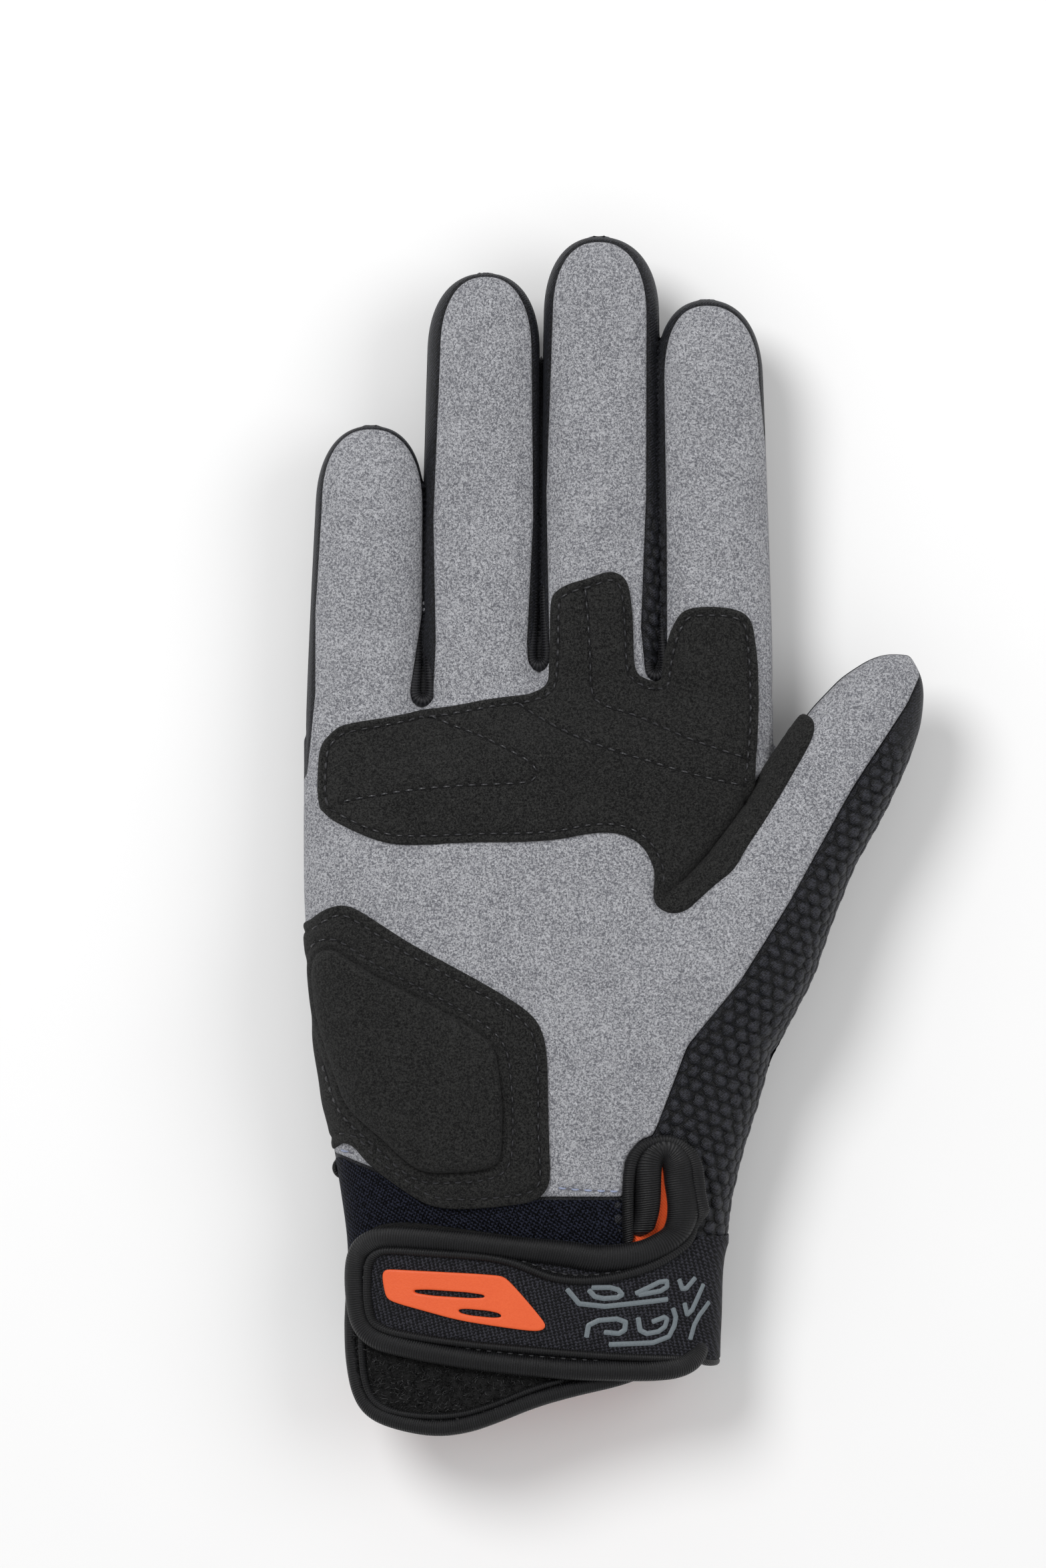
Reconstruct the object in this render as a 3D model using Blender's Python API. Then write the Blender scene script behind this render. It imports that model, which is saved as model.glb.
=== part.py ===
"""Right-hand motorcycle glove, lying on its back with the palm up.

Metres, +X towards the thumb, +Y towards the fingertips, +Z out of the palm.
The origin is on the flat back of the hand, under the middle of the palm.
"""
import math
from collections import namedtuple

import bmesh
import bpy
from mathutils import Matrix, Vector

# Hand: width at the knuckles, length from the wrist crease to the middle crotch, thickness
PALM_WIDTH = 0.099
PALM_LENGTH = 0.1206
PALM_DEPTH = 0.033
WRIST_WIDTH = 0.080
WRIST_DEPTH = 0.024
WRIST_Y = -0.0854
CUFF_LENGTH = 0.0259
BACK_SINK = 0.001
KNUCKLE_ROUND = 0.016

# Fingers: length from each crotch, width left between two of them, thickness, tip
LITTLE_LENGTH = 0.0615
RING_LENGTH = 0.086
MIDDLE_LENGTH = 0.091
INDEX_LENGTH = 0.0815
FINGER_GAP = 0.0009
FINGER_DEPTH = 0.019
FINGER_MID_Z = 0.0150
FINGER_ROOT = 0.018
FINGER_TAPER = 0.07
TIP_ROUND = 1.40
THUMB_LENGTH = 0.0436
THUMB_WIDTH = 0.0265
THUMB_DEPTH = 0.022
THUMB_X = 0.0550
THUMB_Y = 0.0001
THUMB_LEAN = math.radians(31.2)

# Cloth: wall, gap between pieces, and how high each layer stands over the shell
WALL = 0.0015
GAP = 0.0003
PATCH = 0.0012
PAD = 0.0026
TAB = 0.0017
STRAP = 0.0017
BORDER_RISE = 0.0005
BADGE = 0.0011
BOUND_EDGE = 0.0020
PIPING = 0.0011
LINING = 0.0010

# Seams: height of the side seam, dark rim beside each finger, slot at each crotch, hem
SEAM_Z = 0.016
RIM = 0.0020
SLOT_ROUND = 0.0022
HEM_RISE = 0.075 * PALM_LENGTH
HEM_RIGHT = 0.178 * PALM_WIDTH
LOOP_CORD = 0.0013
LOOP_SIZE = 0.0036

# Where a rim starts, as a share of the finger's straight part
RIM_START = 0.1

# Gusset fold: its place over the crotch and its length, as shares of the slot's radius
GUSSET_RISE = 1.3
GUSSET_LONG = 1.8

# How far cutters stand past the glove, and past its whole width
REACH = 0.060
FAR_REACH = 2 * REACH

# Closing strap and its parts
STRAP_WIDTH = 0.0290
STRAP_TOP_Y = -0.0840
STRAP_LEFT_X = -0.5025 * WRIST_WIDTH
STRAP_LENGTH = 0.0790
STRAP_LIFT = GAP + TAB + GAP + STRAP + GAP
BORDER = 0.0050
SLIT_X = 0.3275 * WRIST_WIDTH
SLIT_WIDTH = 0.0170
SLIT_LENGTH = 0.0215
SLIT_OPENING = 0.0016

# Where the strap wraps round the wrist: shares of its length, and of its width below its top line
WRAP_START = 0.25
WRAP_TOP = -0.04
WRAP_BOTTOM = 0.88
BORDER_END = 0.95

GREY_SUEDE = (0.30, 0.30, 0.32)
BLACK_SUEDE = (0.020, 0.020, 0.019)
KNIT = (0.011, 0.012, 0.016)
NAVY = (0.009, 0.011, 0.020)
ORANGE = (1.0, 0.16, 0.03)

HAND_SIDES = 26
FINGER_SIDES = 14
HAND_SQUARE = 2.9
FINGER_SQUARE = 2.45
ARC_STEPS = 3

HandSection = namedtuple("HandSection", "along left right back front")
HAND_SECTIONS = (
    HandSection(-0.400, 0.00, -0.60, 0.00, 0.00),
    HandSection(0.000, 0.00, -0.46, 0.00, 0.00),
    HandSection(0.045, 0.08, 0.02, 0.12, 0.25),
    HandSection(0.140, 0.24, 0.22, 0.60, 0.70),
    HandSection(0.280, 0.55, 0.76, 1.00, 1.10),
    HandSection(0.420, 0.79, 1.10, 1.00, 1.15),
    HandSection(0.510, 0.88, 0.60, 1.00, 1.05),
    HandSection(0.600, 0.94, 0.02, 1.00, 0.95),
    HandSection(0.690, 1.00, 0.10, 1.00, 0.75),
    HandSection(0.760, 1.00, 0.62, 1.00, 0.60),
    HandSection(0.850, 1.00, 0.98, 0.95, 0.40),
)

# The side loop stands out of the hand at this section
LOOP_SECTION = HAND_SECTIONS[3]

# Crotch line: how far each crotch lies below the middle one, as a share of the palm length
Crotch = namedtuple("Crotch", "across drop")
CROTCHES = (
    Crotch(-0.50, 0.125),
    Crotch(-0.25, 0.060),
    Crotch(0.00, 0.000),
    Crotch(0.25, 0.016),
    Crotch(0.50, 0.062),
)

Finger = namedtuple("Finger", "name across length lean curl rim_left rim_right")
FINGERS = (
    Finger("little", -0.372, LITTLE_LENGTH, 0.027, 0.080, 1.0, -0.1),
    Finger("ring", -0.124, RING_LENGTH, 0.013, 0.065, 1.0, 1.0),
    Finger("middle", 0.124, MIDDLE_LENGTH, 0.002, 0.060, 1.0, 1.0),
    Finger("index", 0.372, INDEX_LENGTH, -0.021, 0.060, 1.0, -0.3),
)

ThumbSection = namedtuple("ThumbSection", "along width depth mid")
THUMB_SECTIONS = (
    ThumbSection(-1.350, 1.25, 1.15, 0.76),
    ThumbSection(-0.904, 1.43, 1.42, 0.82),
    ThumbSection(-0.564, 1.36, 1.38, 0.86),
    ThumbSection(-0.296, 1.16, 1.20, 0.88),
    ThumbSection(0.000, 1.00, 1.00, 0.87),
    ThumbSection(0.290, 0.97, 0.94, 0.88),
    ThumbSection(0.550, 0.88, 0.84, 0.92),
    ThumbSection(0.740, 0.74, 0.72, 0.96),
    ThumbSection(0.880, 0.52, 0.54, 1.00),
    ThumbSection(0.965, 0.29, 0.32, 1.03),
    ThumbSection(1.000, 0.10, 0.12, 1.04),
)

# Outlines seen from the palm side: across as a share of the palm width from its middle,
# along as a share of the palm length from the wrist crease, round as a share of the palm width
Corner = namedtuple("Corner", "across along round")
THUMB_EDGE = (
    Corner(0.530, 1.000, 0.0),
    Corner(0.640, 1.080, 0.0),
    Corner(0.790, 1.060, 0.0),
    Corner(0.806, 0.995, 0.02),
    Corner(0.778, 0.935, 0.0),
    Corner(0.662, 0.790, 0.0),
    Corner(0.528, 0.592, 0.0),
    Corner(0.422, 0.453, 0.0),
    Corner(0.312, 0.342, 0.03),
    Corner(0.252, 0.210, 0.0),
)
PALM_PATCH_EDGE = (
    Corner(-0.465, 0.745, 0.040),
    Corner(-0.468, 0.895, 0.050),
    Corner(-0.290, 0.914, 0.0),
    Corner(0.028, 0.952, 0.0),
    Corner(0.028, 1.137, 0.025),
    Corner(0.150, 1.168, 0.025),
    Corner(0.190, 1.158, 0.030),
    Corner(0.198, 0.968, 0.030),
    Corner(0.266, 0.968, 0.0),
    Corner(0.290, 1.103, 0.035),
    Corner(0.452, 1.100, 0.040),
    Corner(0.461, 0.974, 0.0),
    Corner(0.458, 0.873, 0.0),
    Corner(0.440, 0.768, 0.0),
    Corner(0.562, 0.912, 0.010),
    Corner(0.584, 0.900, 0.010),
    Corner(0.520, 0.788, 0.0),
    Corner(0.438, 0.676, 0.0),
    Corner(0.335, 0.593, 0.0),
    Corner(0.260, 0.560, 0.025),
    Corner(0.225, 0.660, 0.045),
    Corner(0.090, 0.722, 0.045),
    Corner(-0.040, 0.694, 0.0),
    Corner(-0.320, 0.688, 0.020),
)
HEEL_PATCH_EDGE = (
    Corner(-0.570, 0.550, 0.0),
    Corner(-0.488, 0.546, 0.0),
    Corner(-0.435, 0.590, 0.030),
    Corner(-0.378, 0.585, 0.020),
    Corner(-0.267, 0.518, 0.0),
    Corner(-0.051, 0.419, 0.025),
    Corner(0.012, 0.375, 0.030),
    Corner(0.022, 0.165, 0.0),
    Corner(0.024, 0.070, 0.040),
    Corner(-0.127, 0.060, 0.0),
    Corner(-0.238, 0.066, 0.030),
    Corner(-0.314, 0.118, 0.0),
    Corner(-0.366, 0.168, 0.0),
    Corner(-0.403, 0.203, 0.015),
    Corner(-0.431, 0.173, 0.0),
    Corner(-0.520, 0.180, 0.0),
)
HEEL_PAD_EDGE = (
    Corner(-0.470, 0.482, 0.020),
    Corner(-0.457, 0.513, 0.020),
    Corner(-0.414, 0.505, 0.020),
    Corner(-0.332, 0.457, 0.0),
    Corner(-0.174, 0.390, 0.0),
    Corner(-0.093, 0.354, 0.030),
    Corner(-0.078, 0.241, 0.0),
    Corner(-0.078, 0.133, 0.025),
    Corner(-0.153, 0.125, 0.015),
    Corner(-0.259, 0.128, 0.025),
    Corner(-0.328, 0.185, 0.0),
    Corner(-0.407, 0.244, 0.025),
    Corner(-0.441, 0.342, 0.0),
)

# Strap outlines: reach as a share of the strap length from its free end,
# rise as a share of the strap width below its top line, round as a share of the strap width
StrapCorner = namedtuple("StrapCorner", "reach rise round")
STRAP_EDGE = (
    StrapCorner(0.000, -0.300, 0.30),
    StrapCorner(0.040, 0.060, 0.30),
    StrapCorner(0.110, 0.100, 0.15),
    StrapCorner(0.400, 0.025, 0.0),
    StrapCorner(0.720, -0.065, 0.15),
    StrapCorner(0.780, -0.060, 0.15),
    StrapCorner(0.830, 0.040, 0.20),
    StrapCorner(1.200, 0.040, 0.0),
    StrapCorner(1.200, -0.880, 0.0),
    StrapCorner(0.930, -0.890, 0.10),
    StrapCorner(0.870, -1.020, 0.12),
    StrapCorner(0.500, -1.010, 0.0),
    StrapCorner(0.215, -0.920, 0.0),
    StrapCorner(0.070, -0.870, 0.30),
    StrapCorner(0.000, -0.600, 0.20),
)
STRAP_FIELD_EDGE = (
    StrapCorner(0.060, -0.400, 0.05),
    StrapCorner(0.072, -0.070, 0.15),
    StrapCorner(0.360, -0.110, 0.0),
    StrapCorner(0.540, -0.240, 0.10),
    StrapCorner(0.720, -0.285, 0.0),
    StrapCorner(0.870, -0.120, 0.0),
    StrapCorner(0.945, 0.040, 0.0),
    StrapCorner(1.200, 0.040, 0.0),
    StrapCorner(1.200, -0.880, 0.0),
    StrapCorner(0.935, -0.895, 0.0),
    StrapCorner(0.720, -0.865, 0.0),
    StrapCorner(0.290, -0.750, 0.0),
    StrapCorner(0.090, -0.640, 0.10),
)
BADGE_EDGE = (
    StrapCorner(0.110, -0.200, 0.06),
    StrapCorner(0.405, -0.235, 0.08),
    StrapCorner(0.530, -0.610, 0.08),
    StrapCorner(0.215, -0.505, 0.08),
    StrapCorner(0.098, -0.400, 0.08),
)
TAB_EDGE = (
    StrapCorner(0.010, 0.040, 0.10),
    StrapCorner(0.075, 0.130, 0.10),
    StrapCorner(0.160, 0.145, 0.10),
    StrapCorner(0.500, 0.050, 0.0),
    StrapCorner(0.700, 0.000, 0.05),
    StrapCorner(0.700, -1.080, 0.05),
    StrapCorner(0.490, -1.230, 0.10),
    StrapCorner(0.200, -1.455, 0.30),
    StrapCorner(0.020, -1.290, 0.35),
    StrapCorner(-0.020, -0.600, 0.20),
)
TAB_FIELD_EDGE = (
    StrapCorner(0.040, 0.020, 0.10),
    StrapCorner(0.090, 0.085, 0.05),
    StrapCorner(0.160, 0.100, 0.05),
    StrapCorner(0.500, 0.010, 0.0),
    StrapCorner(0.665, -0.040, 0.0),
    StrapCorner(0.665, -0.970, 0.0),
    StrapCorner(0.480, -1.110, 0.10),
    StrapCorner(0.200, -1.315, 0.25),
    StrapCorner(0.075, -1.180, 0.25),
    StrapCorner(0.030, -0.600, 0.10),
)

for old in list(bpy.data.objects):
    bpy.data.objects.remove(old)
glove = bpy.data.collections.new("motorcycle_glove")
cutters = bpy.data.collections.new("cutters")
for collection in (glove, cutters):
    bpy.context.scene.collection.children.link(collection)


def mix(start, end, share):
    return start + (end - start) * share


def power_point(angle, square):
    """A point at an angle on a unit superellipse."""
    c, s = math.cos(angle), math.sin(angle)
    return (
        math.copysign(abs(c) ** (2 / square), c),
        math.copysign(abs(s) ** (2 / square), s),
    )


def crotch_y(x):
    """Height of the crotch line at x."""
    share = max(CROTCHES[0].across, min(CROTCHES[-1].across, x / PALM_WIDTH))
    for low, high in zip(CROTCHES, CROTCHES[1:]):
        if share <= high.across:
            step = (share - low.across) / (high.across - low.across)
            return WRIST_Y + PALM_LENGTH * (1 - mix(low.drop, high.drop, step))
    return WRIST_Y + PALM_LENGTH * (1 - CROTCHES[-1].drop)


def new_object(name, mesh, home):
    made = bpy.data.objects.new(name, mesh)
    home.objects.link(made)
    if home == cutters:
        made.hide_render = True
        made.display_type = "WIRE"
    return made


def loft(rings, bent=True):
    """A closed mesh through rings of points, with a cap at each end, triangulated if it is bent."""
    bm = bmesh.new()
    made = [[bm.verts.new(point) for point in ring] for ring in rings]
    for low, high in zip(made, made[1:]):
        for i in range(len(low)):
            j = (i + 1) % len(low)
            bm.faces.new((low[i], low[j], high[j], high[i]))
    bm.faces.new(reversed(made[0]))
    bm.faces.new(made[-1])
    if bent:
        bmesh.ops.triangulate(bm, faces=bm.faces)
    bmesh.ops.recalc_face_normals(bm, faces=bm.faces)
    mesh = bpy.data.meshes.new("loft")
    bm.to_mesh(mesh)
    bm.free()
    return new_object("loft", mesh, cutters)


def combine(first, second, operation):
    """Applies one exact Boolean to the first object and removes the second."""
    step = first.modifiers.new(operation.lower(), "BOOLEAN")
    step.operation = operation
    step.object = second
    step.solver = "EXACT"
    graph = bpy.context.evaluated_depsgraph_get()
    mesh = bpy.data.meshes.new_from_object(first.evaluated_get(graph))
    first.modifiers.clear()
    first.data = mesh
    bpy.data.objects.remove(second)
    return first


def copy_of(source):
    return new_object("copy", source.data.copy(), cutters)


def hand_ring(x_low, x_high, z_low, z_high, height):
    """One ring of the hand: a flattened oval that never reaches below the floor side."""
    ring = []
    for i in range(HAND_SIDES):
        across, up = power_point(2 * math.pi * i / HAND_SIDES, HAND_SQUARE)
        x = (x_low + x_high + across * (x_high - x_low)) / 2
        ring.append((x, height(x), (z_low + z_high + up * (z_high - z_low)) / 2))
    return ring


def hand_body(inset):
    """The hand and wrist, inset by a wall or, below zero, grown by a layer."""
    rings = []
    floor_z = max(0.0, inset)
    for row in HAND_SECTIONS:
        left = mix(WRIST_WIDTH, PALM_WIDTH, row.left) / 2
        right = mix(WRIST_WIDTH, PALM_WIDTH, row.right) / 2
        wrist_z = STRAP_LIFT
        z_low = mix(wrist_z, -BACK_SINK, row.back)
        z_high = mix(wrist_z + WRIST_DEPTH, PALM_DEPTH, row.front)
        along = row.along

        def height(x, along=along):
            reach = crotch_y(x) - WRIST_Y if along > 0 else PALM_LENGTH
            extra = -inset if along < 0 and inset > 0 else 0.0
            return WRIST_Y + along * reach + extra

        ring = hand_ring(-left + inset, right - inset, z_low + inset, z_high - inset, height)
        rings.append([(x, y, max(z, floor_z)) for x, y, z in ring])
    last = HAND_SECTIONS[-1]
    z_low = mix(STRAP_LIFT, -BACK_SINK, last.back)
    z_high = mix(STRAP_LIFT + WRIST_DEPTH, PALM_DEPTH, last.front)
    half = PALM_WIDTH / 2
    for degrees in (25, 48, 66, 80):
        turn = math.radians(degrees)
        start = (1 - last.along) * PALM_LENGTH - KNUCKLE_ROUND
        drop = KNUCKLE_ROUND * (1 - math.sin(turn)) + inset

        def height(x, drop=drop):
            return crotch_y(x) - drop

        low = mix(FINGER_MID_Z, mix(z_low, FINGER_MID_Z - FINGER_DEPTH / 2, 0.5), math.cos(turn))
        high = mix(FINGER_MID_Z, mix(z_high, FINGER_MID_Z + FINGER_DEPTH / 2, 0.5), math.cos(turn))
        keep = inset * math.cos(turn)
        ring = hand_ring(-half + inset, half - inset, low + keep, high - keep, height)
        rings.append([(x, y, max(z, floor_z)) for x, y, z in ring])
    return loft(rings)


def finger_root(finger):
    x = finger.across * PALM_WIDTH
    return x, crotch_y(x)


def finger_half_width():
    return (PALM_WIDTH / 4 - FINGER_GAP) / 2


def finger_stations(finger, inset):
    """Rows of y, centre x, half width, half depth and centre z from root to tip."""
    x0, y0 = finger_root(finger)
    tip = TIP_ROUND * finger_half_width()
    straight = finger.length - tip
    rows = []
    for share in (-FINGER_ROOT / straight, 0.15, 0.6, 1.0):
        y = y0 + straight * share
        narrow = 1 - FINGER_TAPER * max(0.0, share) ** 1.5
        rows.append((y, narrow, inset))
    for degrees in (30, 55, 73, 87):
        turn = math.radians(degrees)
        y = y0 + straight + (tip - inset) * math.sin(turn)
        narrow = (1 - FINGER_TAPER) * math.cos(turn)
        rows.append((y, narrow, inset * math.cos(turn)))
    made = []
    for y, narrow, keep in rows:
        share = (y - y0) / finger.length
        x = x0 + finger.lean * finger.length * max(0.0, share)
        z = FINGER_MID_Z + finger.curl * finger.length * max(0.0, share) ** 2
        depth = FINGER_DEPTH / 2 * mix(1.0, narrow, 0.9)
        made.append((y, x, finger_half_width() * narrow - keep, depth - keep, z))
    return made


def finger_body(finger, inset):
    rings = []
    for y, x, half, depth, z in finger_stations(finger, inset):
        ring = []
        for i in range(FINGER_SIDES):
            across, up = power_point(2 * math.pi * (i + 0.5) / FINGER_SIDES, FINGER_SQUARE)
            ring.append((x + across * half, y, z + up * depth))
        rings.append(ring)
    return loft(rings)


def thumb_body(inset):
    """The thumb and the ball of the thumb, along one leaning line."""
    along_x, along_y = math.sin(THUMB_LEAN), math.cos(THUMB_LEAN)
    rings = []
    for row in THUMB_SECTIONS:
        taper = min(1.0, row.width)
        reach = row.along * THUMB_LENGTH - inset * max(0.0, row.along)
        x, y = THUMB_X + along_x * reach, THUMB_Y + along_y * reach
        half = THUMB_WIDTH / 2 * row.width - inset * taper
        depth = THUMB_DEPTH / 2 * row.depth - inset * taper
        ring = []
        for i in range(FINGER_SIDES):
            across, up = power_point(2 * math.pi * (i + 0.5) / FINGER_SIDES, FINGER_SQUARE)
            ring.append((x + along_y * across * half, y - along_x * across * half,
                         THUMB_DEPTH * row.mid + up * depth))
        rings.append(ring)
    return loft(rings)


def glove_form(inset):
    """The whole glove's form, with hand, fingers and thumb joined."""
    form = hand_body(inset)
    for finger in FINGERS:
        combine(form, finger_body(finger, inset), "UNION")
    return combine(form, thumb_body(inset), "UNION")


def rounded(corners):
    """A closed outline through x, y, radius corners, with an arc at each radius."""
    outline = []
    count = len(corners)
    for i, (x, y, radius) in enumerate(corners):
        here = Vector((x, y))
        before = Vector(corners[i - 1][:2]) - here
        after = Vector(corners[(i + 1) % count][:2]) - here
        turn = before.angle(after)
        reach = min(radius / math.tan(turn / 2), 0.45 * before.length, 0.45 * after.length)
        if radius <= 0 or turn > math.radians(170):
            outline.append(here)
            continue
        start, end = here + before.normalized() * reach, here + after.normalized() * reach
        for step in range(ARC_STEPS + 1):
            t = step / ARC_STEPS
            outline.append(start * (1 - t) ** 2 + here * 2 * t * (1 - t) + end * t ** 2)
    return outline


def on_palm(rows):
    """Turns shares of the palm into an outline in metres."""
    return rounded([
        (row.across * PALM_WIDTH, WRIST_Y + row.along * PALM_LENGTH, row.round * PALM_WIDTH)
        for row in rows
    ])


def on_strap(rows):
    """Turns shares of the strap into an outline in metres."""
    return rounded([
        (STRAP_LEFT_X + row.reach * STRAP_LENGTH, STRAP_TOP_Y + row.rise * STRAP_WIDTH,
         row.round * STRAP_WIDTH)
        for row in rows
    ])


def moved_edge(outline, distance):
    """The outline with each side moved inwards by a distance."""
    count = len(outline)
    area = sum(
        outline[i - 1].x * outline[i].y - outline[i].x * outline[i - 1].y for i in range(count)
    )
    side = 1 if area > 0 else -1
    made = []
    for i, point in enumerate(outline):
        before = (point - outline[i - 1]).normalized()
        after = (outline[(i + 1) % count] - point).normalized()
        normals = Vector((-before.y, before.x)), Vector((-after.y, after.x))
        middle = (normals[0] + normals[1]).normalized()
        stretch = distance / max(0.4, middle.dot(normals[0]))
        made.append(point + middle * stretch * side)
    return made


def prism(outline, low, high):
    """A cutter that stands on an outline between two heights."""
    rings = [[(point.x, point.y, z) for point in outline] for z in (low, high)]
    return loft(rings, bent=False)


def box_outline(x_low, x_high, y_low, y_high):
    return [Vector(p) for p in ((x_low, y_low), (x_high, y_low), (x_high, y_high), (x_low, y_high))]


def layer(lift, thickness, outline, low=SEAM_Z):
    """A cloth layer that lies on the glove inside an outline, lifted off the shell."""
    piece = combine(form_at(-lift - thickness), prism(outline, low, REACH), "INTERSECT")
    return combine(piece, form_at(-lift), "DIFFERENCE")


def form_at(inset):
    """A copy of the glove's form at an inset, made once for each inset."""
    key = round(inset, 7)
    if key not in forms:
        forms[key] = glove_form(inset)
    return copy_of(forms[key])


def drop_offcuts(piece):
    """Keeps the largest body of a cut piece and drops the slivers that a cut left."""
    bm = bmesh.new()
    bm.from_mesh(piece.data)
    left, bodies = set(bm.verts), []
    while left:
        body, edge = set(), {next(iter(left))}
        while edge:
            body |= edge
            near = {link.other_vert(vert) for vert in edge for link in vert.link_edges}
            edge = near - body
        left -= body
        bodies.append(body)
    bodies.sort(key=len)
    for body in bodies[:-1]:
        bmesh.ops.delete(bm, geom=list(body), context="VERTS")
    bm.to_mesh(piece.data)
    bm.free()


def finish(name, piece, color, roughness, metallic=0.0):
    """Names a piece, gives it its material and moves it to the glove's collection."""
    drop_offcuts(piece)
    cutters.objects.unlink(piece)
    glove.objects.link(piece)
    piece.name = piece.data.name = name
    piece.hide_render = False
    piece.display_type = "TEXTURED"
    material = bpy.data.materials.new(name)
    material.use_nodes = True
    shader = material.node_tree.nodes["Principled BSDF"]
    shader.inputs["Base Color"].default_value = (*color, 1.0)
    shader.inputs["Roughness"].default_value = roughness
    shader.inputs["Metallic"].default_value = metallic
    piece.data.materials.clear()
    piece.data.materials.append(material)
    piece.data.shade_smooth()
    piece.data.set_sharp_from_angle(angle=math.radians(40))


forms = {}


def palm_outline():
    """The edge of the grey front: a rim beside each finger, a slot at each crotch."""
    half = finger_half_width()
    outline = [Vector((-PALM_WIDTH, WRIST_Y + HEM_RISE))]
    for i, finger in enumerate(FINGERS):
        x0, y0 = finger_root(finger)
        rims = RIM * finger.rim_left, RIM * finger.rim_right
        tip = TIP_ROUND * half
        straight = finger.length - tip
        tip_x = x0 + finger.lean * finger.length
        wide = half * (1 - FINGER_TAPER)
        if i == 0:
            outline.append(Vector((-PALM_WIDTH, y0 - FINGER_ROOT)))
        outline.append(Vector((x0 - half + rims[0], mix(y0, y0 + straight, RIM_START))))
        for step in range(9):
            turn = math.pi * (1 - step / 8)
            rim = rims[0] if turn > math.pi / 2 else rims[1]
            outline.append(Vector((
                tip_x + math.cos(turn) * (wide - rim),
                y0 + straight + math.sin(turn) * (tip - RIM),
            )))
        outline.append(Vector((x0 + half - rims[1], mix(y0, y0 + straight, RIM_START))))
        if i + 1 < len(FINGERS):
            middle = (x0 + finger_root(FINGERS[i + 1])[0]) / 2
            base = crotch_y(middle) - RIM
            for step in range(5):
                turn = math.pi * step / 4
                outline.append(Vector((
                    middle - SLOT_ROUND * math.cos(turn), base + SLOT_ROUND * (1 - math.sin(turn)),
                )))
    outline += on_palm(THUMB_EDGE)
    outline.append(Vector((HEM_RIGHT, WRIST_Y + HEM_RISE - SLIT_OPENING)))
    return outline


def slit_oval(grow, low=WRIST_Y - BORDER):
    """The outline round the slit, open downwards under the strap."""
    half = SLIT_WIDTH / 2 + grow
    top = WRIST_Y + SLIT_LENGTH + grow
    outline = [Vector((SLIT_X - half, low))]
    for step in range(9):
        turn = math.pi * (1 - step / 8)
        outline.append(Vector((SLIT_X + half * math.cos(turn), top - half * (1 - math.sin(turn)))))
    outline.append(Vector((SLIT_X + half, low)))
    return outline


def make_shell():
    """The shell cut into the grey front, the black back and the cuff."""
    shell = form_at(0.0)
    combine(shell, form_at(WALL), "DIFFERENCE")
    end_y = WRIST_Y - CUFF_LENGTH
    combine(shell, prism(box_outline(-FAR_REACH, FAR_REACH, end_y - REACH, end_y), -REACH, REACH),
            "DIFFERENCE")
    palm_edge = palm_outline()
    front = combine(copy_of(shell), prism(moved_edge(palm_edge, GAP), SEAM_Z + GAP, REACH), "INTERSECT")
    combine(front, prism(slit_oval(GAP * 2 + PIPING), 0, REACH), "DIFFERENCE")
    finish("palm_panel", front, GREY_SUEDE, 0.95)

    band_y = STRAP_TOP_Y - GAP
    edge_y = WRIST_Y + HEM_RISE - SLIT_OPENING - GAP
    band = prism(box_outline(-FAR_REACH, FAR_REACH, end_y - WALL, band_y), -REACH, REACH)
    flap = prism(box_outline(-FAR_REACH, SLIT_X, end_y - WALL, edge_y), SEAM_Z + GAP, REACH)
    cuff_block = combine(band, flap, "UNION")
    cuff = combine(copy_of(shell), cuff_block, "INTERSECT")
    slot = slit_oval(GAP * 2 + PIPING, end_y - WALL)
    combine(cuff, prism(slot, SEAM_Z, REACH), "DIFFERENCE")
    finish("cuff", cuff, NAVY, 0.9)

    back = combine(shell, prism(palm_edge, SEAM_Z, REACH), "DIFFERENCE")
    band = prism(box_outline(-FAR_REACH, FAR_REACH, end_y - REACH, band_y + GAP), -REACH, REACH)
    flap = prism(box_outline(-FAR_REACH, SLIT_X, end_y - REACH, edge_y + GAP), SEAM_Z, REACH)
    combine(back, combine(band, flap, "UNION"), "DIFFERENCE")
    combine(back, prism(slit_oval(GAP * 2 + PIPING), SEAM_Z, REACH), "DIFFERENCE")
    finish("back_panel", back, KNIT, 0.9)


def make_slit():
    """The bound edge of the slit, the cord round it and the orange cloth behind it."""
    opening = box_outline(SLIT_X - SLIT_OPENING / 2, SLIT_X + SLIT_OPENING / 2,
                          WRIST_Y - REACH, WRIST_Y + SLIT_LENGTH - SLIT_WIDTH / 2)
    bound = combine(form_at(-BOUND_EDGE), prism(slit_oval(0.0), SEAM_Z, REACH), "INTERSECT")
    combine(bound, form_at(WALL), "DIFFERENCE")
    combine(bound, prism(opening, 0, REACH), "DIFFERENCE")
    finish("slit_binding", bound, BLACK_SUEDE, 0.6)

    piping = layer(-WALL / 2, WALL / 2 + PIPING, slit_oval(GAP + PIPING))
    combine(piping, prism(slit_oval(GAP), 0, REACH), "DIFFERENCE")
    below = box_outline(-REACH, REACH, WRIST_Y - REACH, STRAP_TOP_Y + GAP + BORDER_RISE)
    combine(piping, prism(below, 0, REACH), "DIFFERENCE")
    finish("slit_piping", piping, BLACK_SUEDE, 0.6)

    back_of = WALL + GAP
    lining = combine(form_at(back_of), prism(slit_oval(-WALL), SEAM_Z, REACH), "INTERSECT")
    combine(lining, form_at(back_of + LINING), "DIFFERENCE")
    finish("slit_lining", lining, ORANGE, 0.8)


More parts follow.
